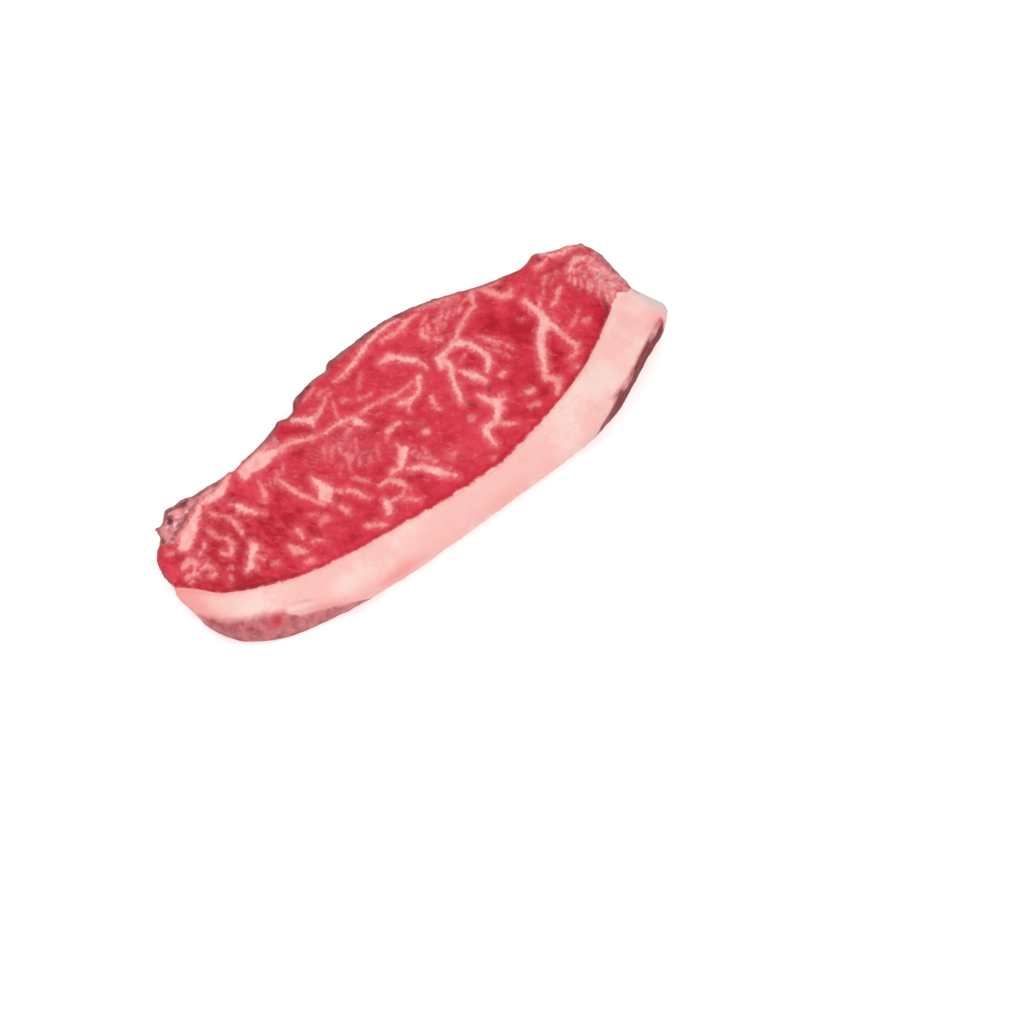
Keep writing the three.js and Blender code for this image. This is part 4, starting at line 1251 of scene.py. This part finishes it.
@dataclass
class LeanMeat(Layer):
    """The lean: two muscles, marbled, with their thin skin at the back."""

    node: str = "lean_meat"
    neighbour: str = "fat_cap"
    slot: str = "lean"
    title: str = "lean_meat_marbled"
    steps: tuple[Push, ...] = LEAN_STEPS
    streak_rise: float = 0.16
    bundle_rise: float = 0.12
    blood_and_shade_sink: float = 0.21
    froth_rise: float = 0.10
    fibre_rise: float = 0.16
    tear_rise: float = 0.3
    below: Span = (14.0, 4.0)
    drift: float = 3.0
    drift_size: float = 16.0
    near_rim: Span = (11.0, 15.0)
    towards_tip: Span = (-34.0, -58.0)
    past_cap: Span = (79.0, 82.0)
    blunt_end: Span = (80.0, 88.0)
    blunt_skin: float = 0.13
    walls: Span = (0.35, 0.8)

    def marks(self, xyz: np.ndarray) -> dict[str, np.ndarray]:
        """Lays the marbling, membranes and shaded places over the cut faces."""
        x, z = xyz[:, 0], xyz[:, 2]
        upright = self.upright()
        lower = smoothstep(*self.below, z)
        drift = np.stack([self.drift * ripple(xyz, self.drift_size, seed) for seed in (5.0, 6.0)], axis=1)
        xy = xyz[:, :2] + lower[:, None] * drift
        noted: dict[str, np.ndarray] = {}
        noted["streak"], noted["streak_tone"] = nearest_run(MARBLING, xy)
        for name, runs in (("membrane", MEMBRANE), ("blood_and_shade", DRIED_BLOOD_AND_SHADE), ("tissue", TISSUE)):
            noted[name], strength = nearest_run(runs, xy)
            noted[name + "_tone"] = strength * (1.0 - lower)
        patchwork = 0.8 * ripple(xyz, (1.7, 2.4, 3.0), 17.0) + 0.6 * ripple(xyz, (3.4, 4.2, 5.0), 18.0)
        frayed = smoothstep(*self.past_cap, x) * (1.2 + 2.4 * ripple(xyz, 2.4, 19.0))
        frayed += clouded(FRAYED_CLOUDS, xyz[:, :2])
        return noted | {
            # where the rim's band of crust and painted shade lies
            "rim": clouded(RIM_CRUST_AND_SHADE_CLOUDS, xy) * smoothstep(*self.near_rim, z),
            "rim_gap": np.minimum(self.rim_gap(), COUNTED),
            "tone": clouded(DEEP_CLOUDS, xy) + smoothstep(*self.towards_tip, xy[:, 0]) * patchwork,
            "froth": clouded(FROTH_CLOUDS, xy),
            "seam": np.minimum(self.seam - frayed, COUNTED),
            "side": upright + 0.3 * smoothstep(4.0, 1.0, z) * smoothstep(0.1, 0.3, upright),
            "skinned": self.blunt_skin * smoothstep(*self.blunt_end, x),
        }

    def relief(self, xyz: np.ndarray) -> np.ndarray:
        """Raised fat, bundles of muscle, and a torn and fibrous outside."""
        marks = self.noted
        side = smoothstep(*self.walls, self.upright())
        bundles = ripple(xyz, 1.9, 11.0) + 0.6 * ripple(xyz, 1.0, 12.0)
        raised = smoothstep(0.5, -0.5, marks["streak"]) * marks["streak_tone"]
        sunk = smoothstep(0.6, -0.6, marks["blood_and_shade"]) * marks["blood_and_shade_tone"]
        fibres = ripple(xyz, (1.3, 1.3, 12.0), 13.0) + 0.6 * ripple(xyz, (0.7, 0.7, 6.0), 14.0)
        torn = ripple(xyz, (3.0, 3.0, 5.0), 15.0)
        face = self.bundle_rise * bundles + self.streak_rise * raised - self.blood_and_shade_sink * sunk
        face += self.froth_rise * np.clip(marks["froth"], 0, 1) * ripple(xyz, 0.9, 16.0)
        return (1.0 - side) * face + side * (self.fibre_rise * fibres + self.tear_rise * torn)

    def finish(self) -> bpy.types.Material:
        """Raw beef."""
        return MeatFinish().make()


@dataclass
class FatCap(Layer):
    """The cap of fat along the steak's outer curve."""

    node: str = "fat_cap"
    neighbour: str = "lean_meat"
    slot: str = "fat"
    title: str = "fat_cap_rind"
    steps: tuple[Push, ...] = FAT_STEPS
    full_height: float = 22.0
    rind_height: float = 19.4
    rind_from: float = 30.0
    wall_colour: Span = (0.25, 0.7)
    wall_relief: Span = (0.3, 0.8)
    past_lean: Span = (78.0, 81.0)
    lump_rise: float = 0.36
    knob_rise: float = 0.22
    lobule_rise: float = 0.05
    grain_rise: float = 0.03

    def dusty(self, xyz: np.ndarray, gap: np.ndarray, lobed: np.ndarray) -> np.ndarray:
        """How far each point is outside the dried skin at the tip.

        Args:
            xyz: The points, in millimetres among the drawn places.
            gap: How far each is from the natural outside.
            lobed: What makes the skin's edge uneven.

        Returns:
            The distance to the skin's edge, negative inside it.
        """
        x, y, z = xyz.T
        # It covers the wall up to a hem that comes down in two steps from the tip, and the rim up to a lip
        hem = self.full_height - 6.6 * smoothstep(-76.0, -66.0, x) - 16.0 * smoothstep(-54.0, -36.0, x)
        hem += 4.5 * ripple(xyz, (9.0, 9.0, 12.0), 34.0) - 6.0 * smoothstep(-14.0, -5.0, y)
        lip = 1.0 + 0.4 * smoothstep(-70.0, -80.0, x) - 2.0 * smoothstep(-12.0, -4.0, y)
        return np.where(x < 0.0, np.maximum(z - hem - 1.4 * lobed, gap - lip - 0.3 * lobed), COUNTED)

    def rind(self, xyz: np.ndarray, gap: np.ndarray, lobed: np.ndarray) -> np.ndarray:
        """How far each point is outside the brown rind at the blunt end.

        Args:
            xyz: The points, in millimetres among the drawn places.
            gap: How far each is from the natural outside.
            lobed: What makes the rind's edge uneven.

        Returns:
            The distance to the rind's edge, negative inside it.
        """
        x, _, z = xyz.T
        # It covers the wall up to a hem that comes down towards the middle, and the rim in a strip that is
        # narrower at the blunt end; it stops at the corner, in front of the steak's end
        hem = self.rind_height - 20.0 * smoothstep(64.0, 38.0, x)
        hem = hem + 2.6 * lobed + 5.0 * ripple(xyz, (9.0, 9.0, 12.0), 35.0)
        steep = 1.1 + 1.2 * smoothstep(56.0, 70.0, x)
        front = smoothstep(0.75, 0.45, self.normals[:, 0]) * smoothstep(92.4, 90.0, x)
        outside = np.maximum(0.7 * (z - hem), steep * gap - 1.6 - 0.12 * lobed)
        outside += 5.0 * (1.0 - front) + 1.1 * smoothstep(66.0, 50.0, x)
        return np.where(x > self.rind_from, outside, COUNTED)

    def marks(self, xyz: np.ndarray) -> dict[str, np.ndarray]:
        """Lays the cut face's blushes and the outside's dried places, with painted shade and light among
        them.
        """
        x, _, z = xyz.T
        xy = xyz[:, :2]
        wall = smoothstep(*self.wall_colour, self.upright())
        gap = self.rim_gap()
        lobed = 1.2 * ripple(xyz, (6.0, 6.0, 9.0), 31.0) + 0.7 * ripple(xyz, (2.6, 2.6, 5.0), 32.0)
        blush_and_edge_shade = 0.8 * smoothstep(-84.0, -92.0, x) + clouded(BLUSH_AND_EDGE_SHADE_CLOUDS, xy)
        blush_and_edge_shade += 0.5 * smoothstep(3.0, 0.3, self.seam) * smoothstep(-76.0, -86.0, x)
        # painted shade near the outer edge, where the fat turns away
        blush_and_edge_shade += 0.2 * smoothstep(7.0, 0.5, gap) * smoothstep(-60.0, -46.0, x) * smoothstep(50.0, 30.0, x)
        blush_and_edge_shade -= 0.3 * wall * smoothstep(-46.0, -38.0, x) * smoothstep(44.0, 34.0, x)
        # painted shade, in grey, low on the middle of the wall by the floor
        grey_and_low_shade = 0.6 * wall * smoothstep(3.5, 0.5, z) * smoothstep(-48.0, -38.0, x) * smoothstep(46.0, 36.0, x)
        return {
            "pallor_and_highlight": clouded(PALLOR_AND_HIGHLIGHT_CLOUDS, xy),
            "blush_and_edge_shade": blush_and_edge_shade,
            "flush_and_shadow": smoothstep(6.0, 15.0, z) * clouded(FLUSH_AND_SHADOW_CLOUDS, xy),
            "ash_and_low_shade": clouded(ASH_CLOUDS, xy) + grey_and_low_shade,
            "dusty": self.dusty(xyz, gap, lobed),
            # painted shade low on the wall, by the floor, and darker clouds at the tip
            "brink_and_low_shade": smoothstep(6.0, 0.5, z) + clouded(BRINK_CLOUDS, xy),
            "wall": wall,
            "rind": self.rind(xyz, gap, lobed),
            "seam": np.minimum(self.seam + COUNTED * smoothstep(*self.past_lean, x), COUNTED),
        }

    def relief(self, xyz: np.ndarray) -> np.ndarray:
        """Faint lobules on the cut, and a lumpy outside."""
        side = smoothstep(*self.wall_relief, self.upright())
        face = self.lobule_rise * ripple(xyz, 2.2, 21.0) + self.grain_rise * ripple(xyz, 1.0, 22.0)
        lumps = self.lump_rise * ripple(xyz, (8.0, 8.0, 5.0), 23.0)
        lumps += self.knob_rise * ripple(xyz, (3.0, 3.0, 2.0), 24.0)
        return (1.0 - side) * face + side * lumps

    def finish(self) -> bpy.types.Material:
        """Beef fat."""
        return FatFinish().make()


@dataclass(frozen=True)
class Lamp:
    """A broad soft lamp: its place in degrees round and above the steak, and its power in watts."""

    name: str
    azimuth: float
    elevation: float
    power: float

    def direction(self) -> Vector:
        """The way from the steak to the lamp."""
        turn, rise = math.radians(self.azimuth), math.radians(self.elevation)
        return Vector((math.cos(turn) * math.cos(rise), math.sin(turn) * math.cos(rise), math.sin(rise)))


@dataclass
class Studio:
    """The pale floor, the soft light and the camera."""

    aim: Vector = field(default_factory=lambda: Vector((12.04, -36.95, 0.0)))
    stand: Vector = field(default_factory=lambda: Vector((-158.5, -255.3, 761.2)))
    lens: float = 85.0
    sensor: float = 36.0
    nearest_seen: float = 10.0
    floor_size: float = 4000.0
    floor_glow: float = 0.2
    sky: float = 0.5
    lamp_size: float = 650.0
    lamp_distance: float = 1100.0
    lamps: tuple[Lamp, ...] = (
        Lamp("overhead", 235.0, 75.0, 5.0),
        Lamp("key", 100.0, 48.0, 2.1),
        Lamp("fill", -30.0, 42.0, 1.4),
        Lamp("front", 215.0, 40.0, 1.4),
    )

    def floor(self) -> None:
        """A plain white floor just under the steak."""
        bm = bmesh.new()
        bmesh.ops.create_grid(bm, x_segments=1, y_segments=1, size=0.5 * self.floor_size * MM)
        mesh = bpy.data.meshes.new("floor")
        bm.to_mesh(mesh)
        bm.free()
        recipe = Recipe("white_floor")
        recipe.set("Base Color", shade(254, 254, 254))
        recipe.set("Roughness", 0.9)
        recipe.set("Specular IOR Level", 0.1)
        recipe.set("Emission Color", (1.0, 1.0, 1.0))
        recipe.set("Emission Strength", self.floor_glow)
        mesh.materials.append(recipe.material)
        floor = bpy.data.objects.new("floor", mesh)
        bpy.context.scene.collection.objects.link(floor)

    def light(self) -> None:
        """Even white surroundings, and broad lamps round the steak."""
        world = bpy.data.worlds.new("studio")
        world.use_nodes = True
        background = world.node_tree.nodes["Background"]
        background.inputs["Color"].default_value = (1.0, 1.0, 1.0, 1.0)
        background.inputs["Strength"].default_value = self.sky
        bpy.context.scene.world = world
        for lamp in self.lamps:
            data = bpy.data.lights.new(lamp.name, "AREA")
            data.energy = lamp.power
            data.size = self.lamp_size * MM
            holder = bpy.data.objects.new(lamp.name, data)
            way = lamp.direction()
            holder.location = way * self.lamp_distance * MM
            holder.rotation_euler = (-way).to_track_quat("-Z", "Y").to_euler()
            bpy.context.scene.collection.objects.link(holder)

    def camera(self) -> None:
        """The camera, at the viewing angle of the photograph."""
        data = bpy.data.cameras.new("camera")
        data.lens = self.lens
        data.sensor_width = self.sensor
        data.clip_start = self.nearest_seen * MM
        camera = bpy.data.objects.new("camera", data)
        camera.location = self.stand * MM
        camera.rotation_euler = (self.aim - self.stand).to_track_quat("-Z", "Y").to_euler()
        bpy.context.scene.collection.objects.link(camera)
        bpy.context.scene.camera = camera
        bpy.context.scene.view_settings.view_transform = "Standard"

    def build(self) -> None:
        """Sets the whole stage."""
        self.floor()
        self.light()
        self.camera()


def main() -> None:
    """Builds the studio and the steak's layers."""
    logging.basicConfig(level=logging.INFO, format="%(name)s: %(message)s")
    Studio().build()
    for layer in (LeanMeat(), FatCap()):
        piece = layer.build()
        triangles = sum(len(p.vertices) - 2 for p in piece.data.polygons)
        LOG.info("%s: %d triangles", piece.name, triangles)


if __name__ == "__main__":
    main()
